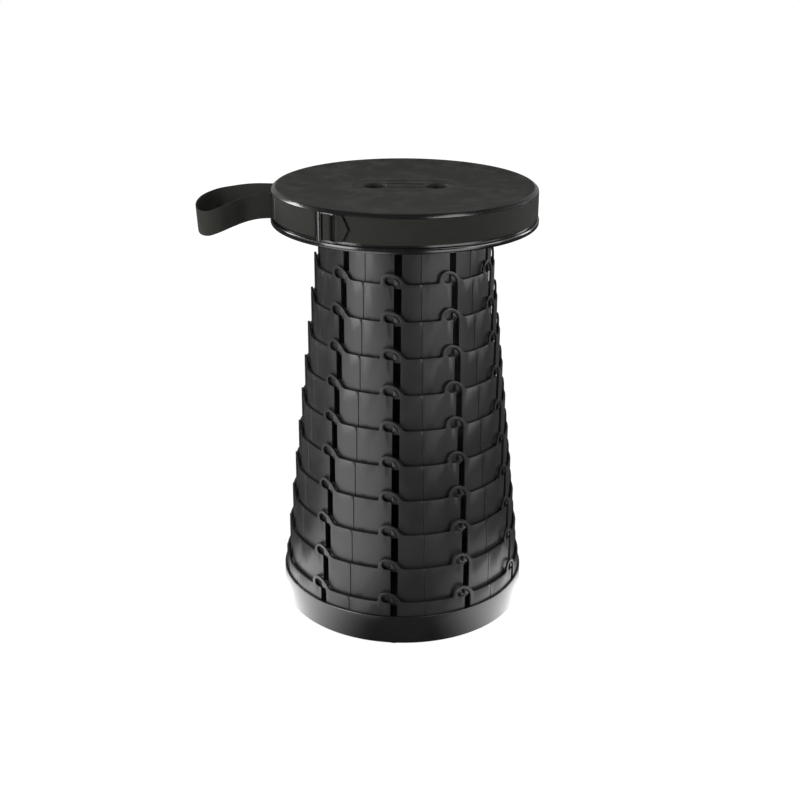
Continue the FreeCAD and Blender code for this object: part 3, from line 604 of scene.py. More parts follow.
    def finish(self, body: str, slot: Slot, material: bpy.types.Material, replaces: Sequence[str] = (),
               sharp: float = SHADING_ANGLE) -> None:
        """Make the object, dress it and let it ride on its body.

        Args:
            body: CAD body that it moves with.
            slot: The record's material slot; not used.
            material: Its finish.
            replaces: CAD nodes that it stands for.
            sharp: Edges past this angle, in degrees, stay sharp in the shading.
        """
        self.bm.normal_update()
        for face in self.bm.faces:
            face.smooth = True
        for edge in self.bm.edges:
            edge.smooth = not (edge.is_manifold and edge.calc_face_angle(0.0) > math.radians(sharp))
        mesh = bpy.data.meshes.new(self.name)
        self.bm.to_mesh(mesh)
        self.bm.free()
        obj = bpy.data.objects.new(self.name, mesh)
        bpy.context.scene.collection.objects.link(obj)
        mesh.materials.append(material)
        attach(obj, body)
        if replaces:
            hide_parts(*replaces)
        LOG.info("%s rides on %s, %d faces", self.name, body, len(mesh.polygons))


@dataclass(frozen=True)
class TubeStack:
    """Slotted rings, the tube under the seat and their pegs."""

    paints: Paints
    count: int = 11
    base_radius: float = 0.1271
    wall: float = 0.0020
    gap: float = 0.00196
    pitch: float = 0.03611
    overlap: float = 0.005
    floor: float = 0.00609
    tiles: int = 10
    bends: int = 12
    first_slot: float = math.radians(-4.0)
    half_slot: float = 0.0037
    crown: float = 0.0112
    pocket: float = 0.00465
    pocket_centre: float = -0.0083
    pocket_faces: int = 5
    pocket_lip: Rounding = (0.0008, 2)
    strip: float = 0.0029
    strip_faces: int = 6
    head: float = 0.012
    head_faces: int = 7
    hump_slope: float = math.radians(53.0)
    hump_foot: Rounding = (0.003, 3)
    flare: float = 0.0013
    flare_slope: float = 3.0
    flare_foot: Rounding = (0.001, 2)
    skin: float = 0.0119
    groove_depth: float = 0.0012
    groove_margin: float = 0.0002
    line_at: float = math.radians(14.5)
    line_half: float = 0.0005
    line_depth: float = 0.0006
    rim_round: Rounding = SOFT
    sliver: float = 0.0001
    seam_weld: float = 2e-6
    peg_reach: float = 0.00296
    peg_root: float = 0.0004
    peg_round: Rounding = SMALL
    peg_shape: tuple[Corner, ...] = (
        (-0.0034, -0.0007, (0.0008, 2)), (0.0023, -0.0007, (0.0009, 2)),
        (0.0008, 0.0030, (0.0024, 3)), (-0.0034, 0.0062, (0.0012, 3)),
    )
    flange_width: float = 0.0135
    flange_height: float = 0.003
    flange_fillet: Rounding = (0.001, 3)

    @property
    def flat(self) -> float:
        """Height of a ring from its lower edge to its flat top edge."""
        return self.pitch + self.overlap

    @property
    def skin_low(self) -> float:
        """Lower end of the open slots, below the flat top edge."""
        return self.skin - self.flat

    def radius(self, number: int) -> float:
        """Outer radius of a ring; number 0 is the tube under the seat."""
        return self.base_radius - (self.count - number) * (self.wall + self.gap)

    def level(self, number: int) -> float:
        """Height of a ring's flat top edge above the ground."""
        return self.floor + self.overlap + self.pitch * (self.count - number + 1)

    def hump(self, half: float) -> list[Corner]:
        """Corners of a tile with its hump, from the lower left."""
        outer = self.pocket + self.strip
        turn = (self.head + self.strip) * math.tan(self.hump_slope / 2)
        left = self.pocket_centre - outer
        right = self.pocket_centre + turn
        foot = right + self.crown / math.tan(self.hump_slope)
        return [
            (-half, -self.flat, SHARP),
            (half, -self.flat, SHARP),
            (half, 0.0, SHARP),
            (foot, 0.0, self.hump_foot),
            (right, self.crown, (turn, self.strip_faces)),
            (left, self.crown, (outer, self.strip_faces)),
            (left - self.flare / self.flare_slope, self.flare, self.flare_foot),
            (left - self.flare, 0.0, SHARP),
            (-half, 0.0, SHARP),
        ]

    def slot(self) -> list[Corner]:
        """Corners of a slot: a straight channel whose head leans left into a pocket."""
        top = self.crown - self.strip
        left = self.pocket_centre - self.pocket
        under = top - 2 * self.pocket
        return [
            (-self.half_slot, self.skin_low, SHARP),
            (self.half_slot, self.skin_low, SHARP),
            (self.half_slot, top, (self.head, self.head_faces)),
            (left, top, (self.pocket, self.pocket_faces)),
            (left, under, (self.pocket, self.pocket_faces)),
            (-self.half_slot, under, self.pocket_lip),
        ]

    def tile(self, number: int) -> Piece:
        """Flat tile in x and z, with the cuts along which it will bend."""
        piece = Piece(f"slotted_ring_{number:02d}")
        half = self.radius(number) * math.pi / self.tiles
        piece.outline(self.hump(half))
        piece.outline(self.slot())
        piece.fill(list(piece.bm.edges))
        margin = self.half_slot + self.groove_margin
        line = self.radius(number) * self.line_at
        uprights = [half * (2 * step / self.bends - 1) for step in range(1, self.bends)]
        uprights += [side * (margin + extra) for side in (-1, 1) for extra in (0.0, self.sliver)]
        uprights += [line - self.line_half, line, line + self.line_half]
        for place in uprights:
            piece.cut(RIGHT * place, RIGHT)
        for height in (self.skin_low, self.skin_low + self.sliver, 0.0):
            piece.cut(UP * height, UP)
        return piece

    def bend(self, piece: Piece, number: int) -> None:
        """Bend a flat tile with its inner wall round the axis."""
        outer = self.radius(number)
        line = outer * self.line_at
        reach = self.half_slot + self.groove_margin + self.sliver / 2
        for vert in piece.bm.verts:
            along, depth, height = vert.co
            radius = outer - depth
            if depth > self.wall / 2:
                if abs(along) < reach and height < self.skin_low + self.sliver / 2:
                    radius += self.groove_depth
            elif abs(along - line) < self.line_half / 2:
                radius -= self.line_depth
            vert.co = polar(radius, along / outer, height)

    def add_pegs(self, piece: Piece, number: int) -> None:
        """Pegs near the lower edge, shaped to the head of the next ring's slot."""
        before = set(piece.bm.verts)
        corners = [(along, height - self.pitch, rounding) for along, height, rounding in self.peg_shape]
        face = bmesh.ops.contextual_create(piece.bm, geom=piece.outline(corners))["faces"]
        piece.move(BACK * (self.peg_root - self.radius(number)), face[0].verts[:])
        front = piece.grow(face, keep=False)
        piece.move(BACK * -(self.peg_root + self.peg_reach), front)
        bmesh.ops.recalc_face_normals(
            piece.bm, faces=faces_of([vert for vert in piece.bm.verts if vert not in before]),
        )
        ahead = set(front)
        piece.bevel([edge for edge in edges_of(front) if ahead.issuperset(edge.verts)], self.peg_round)
        piece.repeat([vert for vert in piece.bm.verts if vert not in before], self.first_slot, self.tiles)

    def ring(self, number: int) -> None:
        """One slotted ring with its pegs."""
        outer = self.radius(number)
        half = outer * math.pi / self.tiles
        piece = self.tile(number)
        piece.move(BACK * self.wall, piece.grow(piece.bm.faces[:]))
        piece.drop_faces(lambda face: all(abs(abs(vert.co.x) - half) < JOIN for vert in face.verts))
        self.bend(piece, number)
        piece.repeat(piece.bm.verts[:], self.first_slot, self.tiles)
        piece.weld(self.seam_weld)
        piece.outward()

        def at_rim(edge: BMEdge) -> bool:
            """Whether an edge lies on the outer wall, or on the inner wall above the skin."""
            depths = [outer - vert.co.xy.length for vert in edge.verts]
            if all(abs(depth) < self.line_depth / 2 for depth in depths):
                return True
            above = all(vert.co.z > self.skin_low + 2 * self.sliver for vert in edge.verts)
            return above and all(abs(depth - self.wall) < self.line_depth / 2 for depth in depths)

        piece.soften(self.rim_round, chosen=at_rim)
        if number < self.count:
            self.add_pegs(piece, number)
        piece.move(UP * self.level(number))
        body = "base" if number == self.count else f"ring_{number:02d}"
        piece.finish(body, Slot.RING, self.paints.ring, [f"ring_{number:02d}"])

    def under_seat(self) -> None:
        """Smallest tube, with a flange that reaches inwards under the seat."""
        piece = Piece("under_seat_tube")
        outer = self.radius(0)
        inner = outer - self.wall
        mouth = outer - self.flange_width
        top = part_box("seat_collar")[1][2]
        piece.turn([
            (inner, self.level(0) - self.flat, FINE),
            (outer, self.level(0) - self.flat, SMALL),
            (outer, top, SMALL),
            (mouth, top, SMALL),
            (mouth, top - self.flange_height, SMALL),
            (inner, top - self.flange_height, self.flange_fillet),
        ])
        piece.outward()
        piece.move(UP * -self.level(0))
        self.add_pegs(piece, 0)
        piece.move(UP * self.level(0))
        piece.finish("seat", Slot.RING, self.paints.ring, ["seat_collar"])

    def build(self) -> None:
        """Build all tubes."""
        for number in range(1, self.count + 1):
            self.ring(number)
        self.under_seat()


def dress(name: str, material: bpy.types.Material) -> None:
    """Give a solid that is shown as it is one material."""
    materials = bpy.data.objects[name].data.materials
    materials.clear()
    materials.append(material)


@dataclass(frozen=True)
class Base:
    """Low round base with a glossy band, floor, ribs and rubber pads."""

    paints: Paints
    segments: int = 160
    radius: float = 0.1295
    height: float = 0.0319
    under: float = 0.001
    floor_top: float = 0.0055
    floor_under: float = 0.003
    rim: float = 0.0175
    hub: float = 0.018
    ledge: float = 0.00609
    ring_outer: float = 0.1274
    ring_inner: float = 0.1248
    foot_round: Rounding = (0.0016, 4)
    brim_round: Rounding = (0.0009, 4)
    ribs: int = 10
    rib_width: float = 0.0025
    rib_sink: float = 0.0003
    rib_overlap: float = 0.002
    first_rib: float = math.radians(-4.0)

    def cup(self) -> None:
        """Band, rim, floor and hub in one turning, with ribs under the floor."""
        piece = Piece("base_band")
        inside = self.radius - self.rim
        piece.turn([
            (0.0, self.under, SHARP),
            (self.hub, self.under, SOFT),
            (self.hub, self.floor_under, SMALL),
            (inside, self.floor_under, SMALL),
            (inside, self.under, SOFT),
            (self.radius, self.under, self.foot_round),
            (self.radius, self.height, self.brim_round),
            (self.ring_outer, self.height, FINE),
            (self.ring_outer, self.ledge, SHARP),
            (self.ring_inner, self.ledge, HAIR),
            (self.ring_inner, self.floor_top, HAIR),
            (0.0, self.floor_top, SHARP),
        ], closed=False, segments=self.segments)
        piece.weld()
        piece.outward()
        length = inside - self.hub + self.rib_overlap
        rise = self.floor_under - self.under + self.rib_sink
        middle = (self.under + self.floor_under) / 2 + self.rib_sink
        place = Matrix.Translation(upright(0.0, middle) - BACK * (inside + self.hub) / 2)
        size = Matrix.Diagonal((self.rib_width, length, rise, 1.0))
        for index in range(self.ribs):
            angle = self.first_rib + FULL_TURN * index / self.ribs
            bmesh.ops.create_cube(piece.bm, size=1.0, matrix=turned(angle) @ place @ size)
        piece.finish("base", Slot.GLOSS, self.paints.base, ["base_cup"])

    def build(self) -> None:
        """Build the base; its pads keep their solids."""
        self.cup()
        dress("foot_pads", self.paints.rubber)


@dataclass(frozen=True)
class Seat:
    """Round seat plate with finger holes, its glossy shoulder, its skirt and the glossy lip."""

    paints: Paints
    top: float = 0.450
    crest: float = 0.1255
    crest_round: Rounding = (0.0055, 6)
    plate_radius: float = 0.1282
    plate_fall: float = 0.0002
    plate_round: Rounding = (0.0004, 3)
    shoulder_radius: float = 0.1328
    shoulder_top: float = 0.0005
    shoulder_low: float = 0.0034
    shoulder_flat: float = 0.0012
    shoulder_round: Rounding = (0.0009, 5)
    shoulder_edge: Rounding = (0.0003, 3)
    seam: float = 0.0001
    dish: float = 0.0016
    dish_run: float = 0.014
    plate: float = 0.0036
    under_run: float = 0.03
    under_round: Rounding = (0.0008, 3)
    skirt_inner: float = 0.1285
    skirt_outer: float = 0.1310
    skirt_top: float = 0.445
    lip_radius: float = 0.134
    lip_top: float = 0.419
    lip_low: float = 0.4133
    lip_round: Rounding = (0.0018, 5)
    spigot_inner: float = 0.1260
    spigot_low: float = 0.441
    hole_radius: float = 0.0125
    hole_offset: float = 0.0308
    hole_round: Rounding = (0.0012, 4)
    hole_segments: int = 64
    hole_angle: float = 50.0
    tube_radius: float = 0.0145
    tube_low: float = 0.440
    field_length: float = 0.104
    field_width: float = 0.044
    field_depth: float = 0.0004
    field_faces: int = 10
    field_hair: float = 1e-5
    field_weld: float = 3e-5
    shading: float = 28.0
    on_hole: float = 1e-4
    same_level: float = 1e-5

    def field(self, piece: Piece, level: float) -> list[BMEdge]:
        """Outline of the shallow field round the finger holes."""
        along = self.field_length / 2
        across = self.field_width / 2
        end = (across - self.field_hair, self.field_faces)
        places = (-along, -across), (along, -across), (along, across), (-along, across)
        corners = [(*place, end) for place in places]
        return piece.outline(corners, lambda x, y: Vector((x, y, level)), distance=self.field_weld)

    def circle(self, piece: Piece, side: int, radius: float, height: float) -> list[BMEdge]:
        """Circle of edges about the middle of a finger hole; side is -1 or 1."""
        centre = Matrix.Translation(upright(side * self.hole_offset, height))
        made = bmesh.ops.create_circle(
            piece.bm, cap_ends=False, segments=self.hole_segments, radius=radius, matrix=centre,
        )
        return edges_of(made["verts"])

    def plate_top(self) -> None:
        """Seat plate: rim, dish, field, finger holes, spigot and the tubes below the holes."""
        piece = Piece("seat_plate")
        dish_level = self.top - self.dish
        sunk_level = dish_level - self.field_depth
        under = dish_level - self.plate
        piece.turn([
            (self.crest - self.dish_run, dish_level, SHARP),
            (self.crest, self.top, self.crest_round),
            (self.plate_radius, self.top - self.plate_fall, self.plate_round),
            (self.plate_radius, self.spigot_low, FINE),
            (self.spigot_inner, self.spigot_low, FINE),
            (self.spigot_inner, under, self.under_round),
            (self.crest - self.under_run, under, SHARP),
        ], closed=False, segments=ROUND_SEGMENTS)
        piece.weld()
        rims = [edge for edge in piece.bm.edges if edge.is_boundary]
        half_way = (dish_level + under) / 2
        upper = [edge for edge in rims if edge.verts[0].co.z > half_way]
        lower = [edge for edge in rims if edge.verts[0].co.z <= half_way]
        field = self.field(piece, dish_level)
        piece.fill(upper + field)
        sunk = self.field(piece, sunk_level)
        piece.bridge(field, sunk)
        holes = {side: self.circle(piece, side, self.hole_radius, sunk_level) for side in (-1, 1)}
        piece.fill(sunk + holes[-1] + holes[1])
        for side, hole in holes.items():
            loops = [
                hole, self.circle(piece, side, self.hole_radius, self.tube_low),
                self.circle(piece, side, self.tube_radius, self.tube_low),
                self.circle(piece, side, self.tube_radius, under),
            ]
            for pair in zip(loops, loops[1:]):
                piece.bridge(*pair)
            lower += loops[-1]
        piece.fill(lower)
        piece.weld()
        piece.outward()

        def hole_edge(edge: BMEdge) -> bool:
            """Whether an edge is the upper or lower edge of a finger hole."""
            first, second = (vert.co for vert in edge.verts)
            if abs(first.z - second.z) > self.same_level:
                return False
            side = math.copysign(self.hole_offset, first.x)
            reach = [math.hypot(end.x - side, end.y) for end in (first, second)]
            return all(abs(value - self.hole_radius) < self.on_hole for value in reach)

        piece.soften(self.hole_round, self.hole_angle, hole_edge)
        piece.finish("seat", Slot.SEAT, self.paints.seat, ["seat_top"], self.shading)

    def shoulder(self) -> None:
        """Glossy shoulder that slopes from the matte plate down to the webbing."""
        piece = Piece("seat_shoulder")
        inner = self.plate_radius + self.seam
        low = self.skirt_top + self.seam
        piece.turn([
            (inner, low, SHARP),
            (inner, self.top - self.shoulder_top, HAIR),
            (inner + self.shoulder_flat, self.top - self.shoulder_top, self.shoulder_round),
            (self.shoulder_radius, self.top - self.shoulder_low, self.shoulder_edge),
            (self.skirt_outer, self.top - self.shoulder_low, SHARP),
            (self.skirt_outer, low, SHARP),
        ])
        piece.outward()
        piece.finish("seat", Slot.GLOSS, self.paints.gloss)

    def skirt(self) -> None:
        """Wall of the seat behind the strap, with the glossy lip below."""
        piece = Piece("seat_lip")
        piece.turn([
            (self.skirt_inner, self.lip_low, SMALL),
            (self.lip_radius, self.lip_low, self.lip_round),
            (self.lip_radius, self.lip_top, self.lip_round),
            (self.skirt_outer, self.lip_top, SHARP),
            (self.skirt_outer, self.skirt_top, SHARP),
            (self.skirt_inner, self.skirt_top, SHARP),
        ])
        piece.outward()
        piece.finish("seat", Slot.GLOSS, self.paints.gloss, ["seat_skirt"])

    def build(self) -> None:
        """Build the seat; its screws keep their solids."""
        self.plate_top()
        self.shoulder()
        self.skirt()
        dress("seat_screws", self.paints.steel)


@dataclass(frozen=True)
class Ribbon:
    """Strip that is laid out from a flat grid, with its own UV map in metres."""

    length: float
    width: float
    thickness: float
    steps: int
    across: int = 8
    closed: bool = False

    def build(self, name: str, place: Placement) -> Piece:
        """Lay the strip.

        Args:
            name: Name of the piece.
            place: Point for a length along the strip, a place across it and a depth.

        Returns:
            The piece, open for more work.
        """
        piece = Piece(name)
        bmesh.ops.create_grid(piece.bm, x_segments=self.steps, y_segments=self.across, size=0.5)
        layer = piece.bm.loops.layers.uv.new("strap")
        for vert in piece.bm.verts:
            vert.co = Vector(((vert.co.x + 0.5) * self.length, (vert.co.y + 0.5) * self.width, 0.0))
        for face in piece.bm.faces:
            for loop in face.loops:
                loop[layer].uv = loop.vert.co.xy
        for vert in piece.grow(piece.bm.faces[:]):
            vert.co.z = self.thickness
        if self.closed:
            piece.drop_faces(lambda face: any(
                all(abs(vert.co.x - end) < WELD for vert in face.verts) for end in (0.0, self.length)
            ))
        for vert in piece.bm.verts:
            vert.co = place(*vert.co)
        piece.weld(WELD)
        piece.outward()
        return piece


def smooth_path(points: Sequence[Vector], share: float) -> Vector:
    """Point of a smooth curve through points.

    Args:
        points: What the curve passes through, about evenly spaced.
        share: Place along the curve, from 0 to 1.

    Returns:
        The point of the Catmull-Rom spline.
    """
    last = len(points) - 1
    index = min(int(share * last), last - 1)
    t = share * last - index
    before = points[max(index - 1, 0)]
    start = points[index]
    end = points[index + 1]
    after = points[min(index + 2, last)]
    return 0.5 * (
        2.0 * start + (end - before) * t
        + (2.0 * before - 5.0 * start + 4.0 * end - after) * t * t
        + (3.0 * start - before - 3.0 * end + after) * t * t * t
    )


@dataclass(frozen=True)
class Straps:
    """Webbing round the seat, its slider, its pointed end and the carry loop."""

    paints: Paints
    width: float = 0.0248
    low: float = 0.4215
    band_inner: float = 0.1312
    thickness: float = 0.0017
    band_steps: int = 288
    ripple: float = 0.00012
    ripple_waves: int = 7
    ripple_across: float = 150.0
    ripple_sink: float = 0.6
    slider_azimuth: float = math.radians(-32.95)
    slider_width: float = 0.0218
    slider_slots: tuple[Span, Span] = ((-0.0048, -0.0022), (0.0057, 0.0095))
    slider_low: float = 0.41935
    slider_high: float = 0.44695
    slider_bar: float = 0.0016
    slider_low_edge: float = 0.0004
    slider_crown: float = 0.0021
    slider_flat: float = 0.0016
    slider_low_bar: float = 0.0006
    slider_corner: Rounding = (0.0012, 4)
    slider_cuts: int = 14
    middle_cuts: int = 10
    # Sheet of painted shade under the slider, a little wider than the slider on each side.
    shade_sheet_start: float = math.radians(-38.8)
    shade_sheet_end: float = math.radians(-27.9)
    shade_sheet_thickness: float = 0.00035
    inset: float = 0.0002
    fold_from: float = 0.0012
    fold_to: float = 0.0012
    fold_thickness: float = 0.0009
    fold_flat: float = 0.5
    tail_from: float = math.radians(-28.3)
    tail_length: float = 0.0132
    tail_point: float = 0.0064
    tail_thickness: float = 0.0014
    tail_lift: float = 0.0005
    loop_thickness: float = 0.0016
    loop_lean: float = 0.06
    loop_steps: int = 96
    loop_ahead: float = 0.004
    loop_middle: Span = (-0.166, -0.008)
    near_root: Span = (-0.131, -0.0310)
    far_root: Span = (-0.1328, 0.0130)
    near_tack: float = math.radians(5.6)
    far_tack: float = math.radians(-1.4)
    tack_rows: int = 17
    tack_margin: float = 0.0028
    tack_out: float = 0.0001
    stitch: tuple[float, float, float] = (0.0011, 0.00024, 0.000384)
    stitch_slant: float = math.radians(16.0)

    @property
    def outer(self) -> float:
        """Outer radius of the band."""
        return self.band_inner + self.thickness

    def on_band(self, start: float, lift: Callable[[float, float], float]) -> Placement:
        """Placement on the band.

        Args:
            start: Arc length of the strip's start, right of the front.
            lift: Height of the strip's outer face above the band's outer radius.

        Returns:
            A placement for Ribbon.build.
        """
        def place(along: float, across: float, depth: float) -> Vector:
            """Point on the band."""
            radius = self.outer + lift(along, across) - depth
            return polar(radius, (start + along) / self.outer, self.low + across)
        return place

    def band(self) -> None:
        """Band of webbing in the recess of the seat."""
        girth = FULL_TURN * self.outer

        def ripple(along: float, across: float) -> float:
            """Slight unevenness of the webbing."""
            wave = math.sin(self.ripple_waves * along / girth * FULL_TURN)
            return self.ripple * (wave * math.sin(across * self.ripple_across) - self.ripple_sink)

        depth = self.thickness - self.ripple
        strip = Ribbon(girth, self.width, depth, self.band_steps, across=10, closed=True)
        piece = strip.build("webbing_band", self.on_band(-girth / 2, ripple))
        piece.soften(CLOTH)
        piece.finish("seat", Slot.WEBBING, self.paints.webbing, ["strap_band"])

    def slider_height_at(self, along: float) -> float:
        """Height of the slider's face over its foot: a half-round bar, flat bars and a low one."""
        start = -self.slider_width / 2
        end = self.slider_slots[0][0]
        if along <= end:
            share = (2.0 * along - start - end) / (end - start)
            return self.slider_low_edge + self.slider_crown * math.sqrt(max(0.0, 1.0 - share * share))
        if along >= self.slider_slots[1][1]:
            return self.slider_low_bar
        return self.slider_flat

    def slider_plate(self) -> None:
        """Slider: a curved frame with two slots."""
        piece = Piece("strap_slider")
        half = self.slider_width / 2
        tall = (self.slider_high - self.slider_low) / 2
        openings = [(near, far, tall - self.slider_bar, CLOTH) for near, far in self.slider_slots]
        for near, far, high, corner in [(-half, half, tall, self.slider_corner), *openings]:
            places = (near, -high), (far, -high), (far, high), (near, high)
            piece.outline([(*place, corner) for place in places])
        piece.fill(list(piece.bm.edges))
        (bar_end, middle_start), _ = self.slider_slots
        bar_step = (bar_end + half) / self.slider_cuts
        middle_step = self.slider_width / self.slider_cuts
        cuts = [-half + bar_step * step for step in range(1, self.slider_cuts)]
        cuts += [middle_start + middle_step * step for step in range(self.middle_cuts)]
        for place in cuts:
            piece.cut(RIGHT * place, RIGHT)
        under = set(piece.grow(piece.bm.faces[:]))
        middle = (self.slider_high + self.slider_low) / 2
        foot = self.outer + self.shade_sheet_thickness
        for vert in piece.bm.verts:
            along, _, height = vert.co
            radius = foot if vert in under else foot + self.slider_height_at(along)
            vert.co = polar(radius, self.slider_azimuth + along / self.outer, middle + height)
        piece.outward()
        piece.soften(FINE)
        piece.finish("seat", Slot.SLIDER, self.paints.slider, ["slider_buckle"])

    def slider_bed(self) -> None:
        """Dark dull sheet under the slider, drawn as its lower frame; its near-black is painted shade in
        the slots and beside the bars.
        """
        length = (self.shade_sheet_end - self.shade_sheet_start) * self.outer
        strip = Ribbon(length, self.width - 2 * self.inset, self.shade_sheet_thickness, steps=10, across=2)
        place = self.on_band(self.shade_sheet_start * self.outer, lambda along, across: self.shade_sheet_thickness)
        piece = strip.build("slider_bed", place)
        piece.move(UP * self.inset)
        piece.finish("seat", Slot.SLIDER, self.paints.painted_shade_sheet)

    def over_bar(self) -> None:
        """Webbing that comes up through one slot of the slider and goes down through the other."""
        low = self.slider_slots[0][1] - self.fold_from
        reach = (self.slider_slots[1][0] + self.fold_to - low) / 2
        top = self.shade_sheet_thickness + self.slider_flat + self.fold_thickness

        def lift(along: float, across: float) -> float:
            """Height of the fold over the middle bar."""
            share = abs(along - reach) / reach
            fall = max(0.0, (share - self.fold_flat) / (1.0 - self.fold_flat))
            return top * (1.0 - fall ** 2.0)

        strip = Ribbon(2 * reach, self.width - 2 * self.inset, self.fold_thickness, steps=18, across=6)
        piece = strip.build("webbing_over_bar", self.on_band(self.slider_azimuth * self.outer + low, lift))
        piece.move(UP * self.inset)
        piece.soften(FINE)
        piece.finish("seat", Slot.WEBBING, self.paints.webbing)

    def tail(self) -> None:
        """Pointed free end of the webbing."""
        half = self.width / 2
        start = self.tail_from * self.outer
        straight = self.tail_length - self.tail_point
        foot = self.outer + self.tail_thickness + self.shade_sheet_thickness + self.slider_low_bar

        def place(along: float, across: float, depth: float) -> Vector:
            """Point on the strap end, drawn in towards its tip."""
            share = abs(across - half) / half
            reach = along * (1.0 - share * self.tail_point / self.tail_length)
            radius = foot + self.tail_lift * math.sin(math.pi * min(along / straight, 1.0)) - depth
            return polar(radius, (start + reach) / self.outer, self.low + across)

        strip = Ribbon(self.tail_length, self.width, self.tail_thickness, steps=14, across=12)
        piece = strip.build("webbing_tail", place)
        piece.soften(CLOTH)
        piece.finish("seat", Slot.WEBBING, self.paints.webbing, ["strap_tail"])

    def loop_path(self) -> list[Vector]:
        """Middle of the carry loop's upper edge, from the near root to the far one."""
        return [Vector(point) for point in (
            (-0.1296, -0.0305, 0.4463), (-0.1430, -0.0315, 0.4456), (-0.1550, -0.0330, 0.4430),
            (-0.1670, -0.0385, 0.4393), (-0.1800, -0.0430, 0.4345), (-0.1920, -0.0410, 0.4305),
            (-0.2018, -0.0310, 0.4295), (-0.2068, -0.0150, 0.4305), (-0.2074, 0.0020, 0.4323),
            (-0.2025, 0.0180, 0.4347), (-0.1900, 0.0275, 0.4380), (-0.1750, 0.0270, 0.4410),
            (-0.1600, 0.0235, 0.4438), (-0.1470, 0.0190, 0.4455), (-0.1322, 0.0145, 0.4463),
        )]

    def loop(self) -> None:
        """Carry loop that stands out of the band on the left and hangs down a little."""
        points = self.loop_path()
        length = sum((b - a).length for a, b in zip(points, points[1:]))
        middle = Vector((*self.loop_middle, 0.0))

        def place(along: float, across: float, depth: float) -> Vector:
            """Point on the loop."""
            share = along / length
            here = smooth_path(points, share)
            ahead = smooth_path(points, min(share + self.loop_ahead, 1.0))
            ahead -= smooth_path(points, max(share - self.loop_ahead, 0.0))
            out = Vector((ahead.y, -ahead.x, 0.0)).normalized()
            if out.dot(here - middle) < 0.0:
                out.negate()
            lean = self.loop_lean * math.sin(math.pi * share) ** 2.0
            down = self.width - across
            return here - out * lean * down - UP * down * math.cos(lean) - out * depth

        strip = Ribbon(length, self.width, self.loop_thickness, self.loop_steps)
        piece = strip.build("webbing_loop", place)
        piece.soften(CLOTH)
        piece.finish("seat", Slot.WEBBING, self.paints.webbing, ["strap_loop"])

    def tack(self, name: str, azimuth: float) -> None:
        """Bar tack: a dense column of zigzag stitches across the webbing."""
        piece = Piece(name)
        step = (self.width - 2 * self.tack_margin) / (self.tack_rows - 1)
        shape = Matrix.Diagonal((*self.stitch, 1.0))
        for row in range(self.tack_rows):
            height = self.low + self.tack_margin + step * row
            made = bmesh.ops.create_uvsphere(piece.bm, u_segments=8, v_segments=6, radius=1.0)
            slant = Matrix.Rotation(self.stitch_slant if row % 2 else -self.stitch_slant, 4, "Y")
            place = turned(azimuth) @ Matrix.Translation(polar(self.outer + self.tack_out, 0.0, height))
            bmesh.ops.transform(piece.bm, verts=made["verts"], matrix=place @ slant @ shape)
        piece.finish("seat", Slot.WEBBING, self.paints.thread)

    def build(self) -> None:
        """Build the webbing and its slider."""
        self.band()
        self.slider_bed()
        self.slider_plate()
        self.over_bar()
        self.tail()
        self.loop()
        for name, (x, y), aside in (
            ("tack_near", self.near_root, self.near_tack), ("tack_far", self.far_root, self.far_tack),
        ):
            self.tack(name, math.atan2(x, -y) + aside)


@dataclass(frozen=True)
class PhotoCamera:
    """Camera of the photograph, worked out from the stool's known sizes."""

    distance: float = 1.280
    height: float = 0.7278
    pitch: float = 21.69
    roll: float = 0.341
    focal: float = 1302.0
    picture: float = 800.0
    sensor: float = 36.0
    aside: float = 0.00367

    def build(self) -> None:
        """Create the camera and make it the scene's."""
        data = bpy.data.cameras.new("photo_camera")
        data.sensor_width = self.sensor
        data.lens = self.focal * self.sensor / self.picture
        camera = bpy.data.objects.new("photo_camera", data)
        bpy.context.scene.collection.objects.link(camera)
        place = Matrix.Translation(Vector((-self.aside, -self.distance, self.height)))
        tilt = Matrix.Rotation(math.radians(90.0 - self.pitch), 4, "X")
        camera.matrix_world = place @ tilt @ Matrix.Rotation(math.radians(self.roll), 4, "Z")
        bpy.context.scene.camera = camera


@dataclass(frozen=True)
class SoftBox:
    """Area lamp that looks at the stool, placed by angles in degrees."""

    name: str
    azimuth: float
    elevation: float
    distance: float
    width: float
    height: float
    watts: float

    def build(self, target: Vector) -> None:
        """Place the lamp."""
        data = bpy.data.lights.new(self.name, "AREA")
        data.shape = "RECTANGLE"
        data.size = self.width
        data.size_y = self.height
        data.energy = self.watts
        lamp = bpy.data.objects.new(self.name, data)
        bpy.context.scene.collection.objects.link(lamp)
        elevation = math.radians(self.elevation)
        away = polar(math.cos(elevation), math.radians(self.azimuth), math.sin(elevation))
        lamp.location = target + away * self.distance
        lamp.rotation_euler = away.to_track_quat("Z", "Y").to_euler()


LAMPS = (
    SoftBox("key", azimuth=-54.0, elevation=12.0, distance=1.6, width=0.8, height=1.3, watts=32.0),
    SoftBox("left_edge", azimuth=-118.0, elevation=26.0, distance=1.8, width=0.5, height=1.0, watts=18.0),
    SoftBox("right_edge", azimuth=118.0, elevation=14.0, distance=1.8, width=0.5, height=1.0, watts=12.0),
    SoftBox("top", azimuth=60.0, elevation=62.0, distance=1.5, width=0.5, height=0.5, watts=4.0),
    SoftBox("fill", azimuth=68.0, elevation=12.0, distance=2.2, width=1.4, height=1.2, watts=30.0),
)


def angles(low: float, high: float) -> Span:
    """Two angles in radians, from degrees."""
    return math.radians(low), math.radians(high)


def reach_of(graph: Graph) -> tuple[Signal, Signal, Signal]:
    """A point's distance from the axis, and its x and y."""
    x, y, _ = graph.parts(graph.place())
    return (x * x + y * y) ** 0.5, x, y


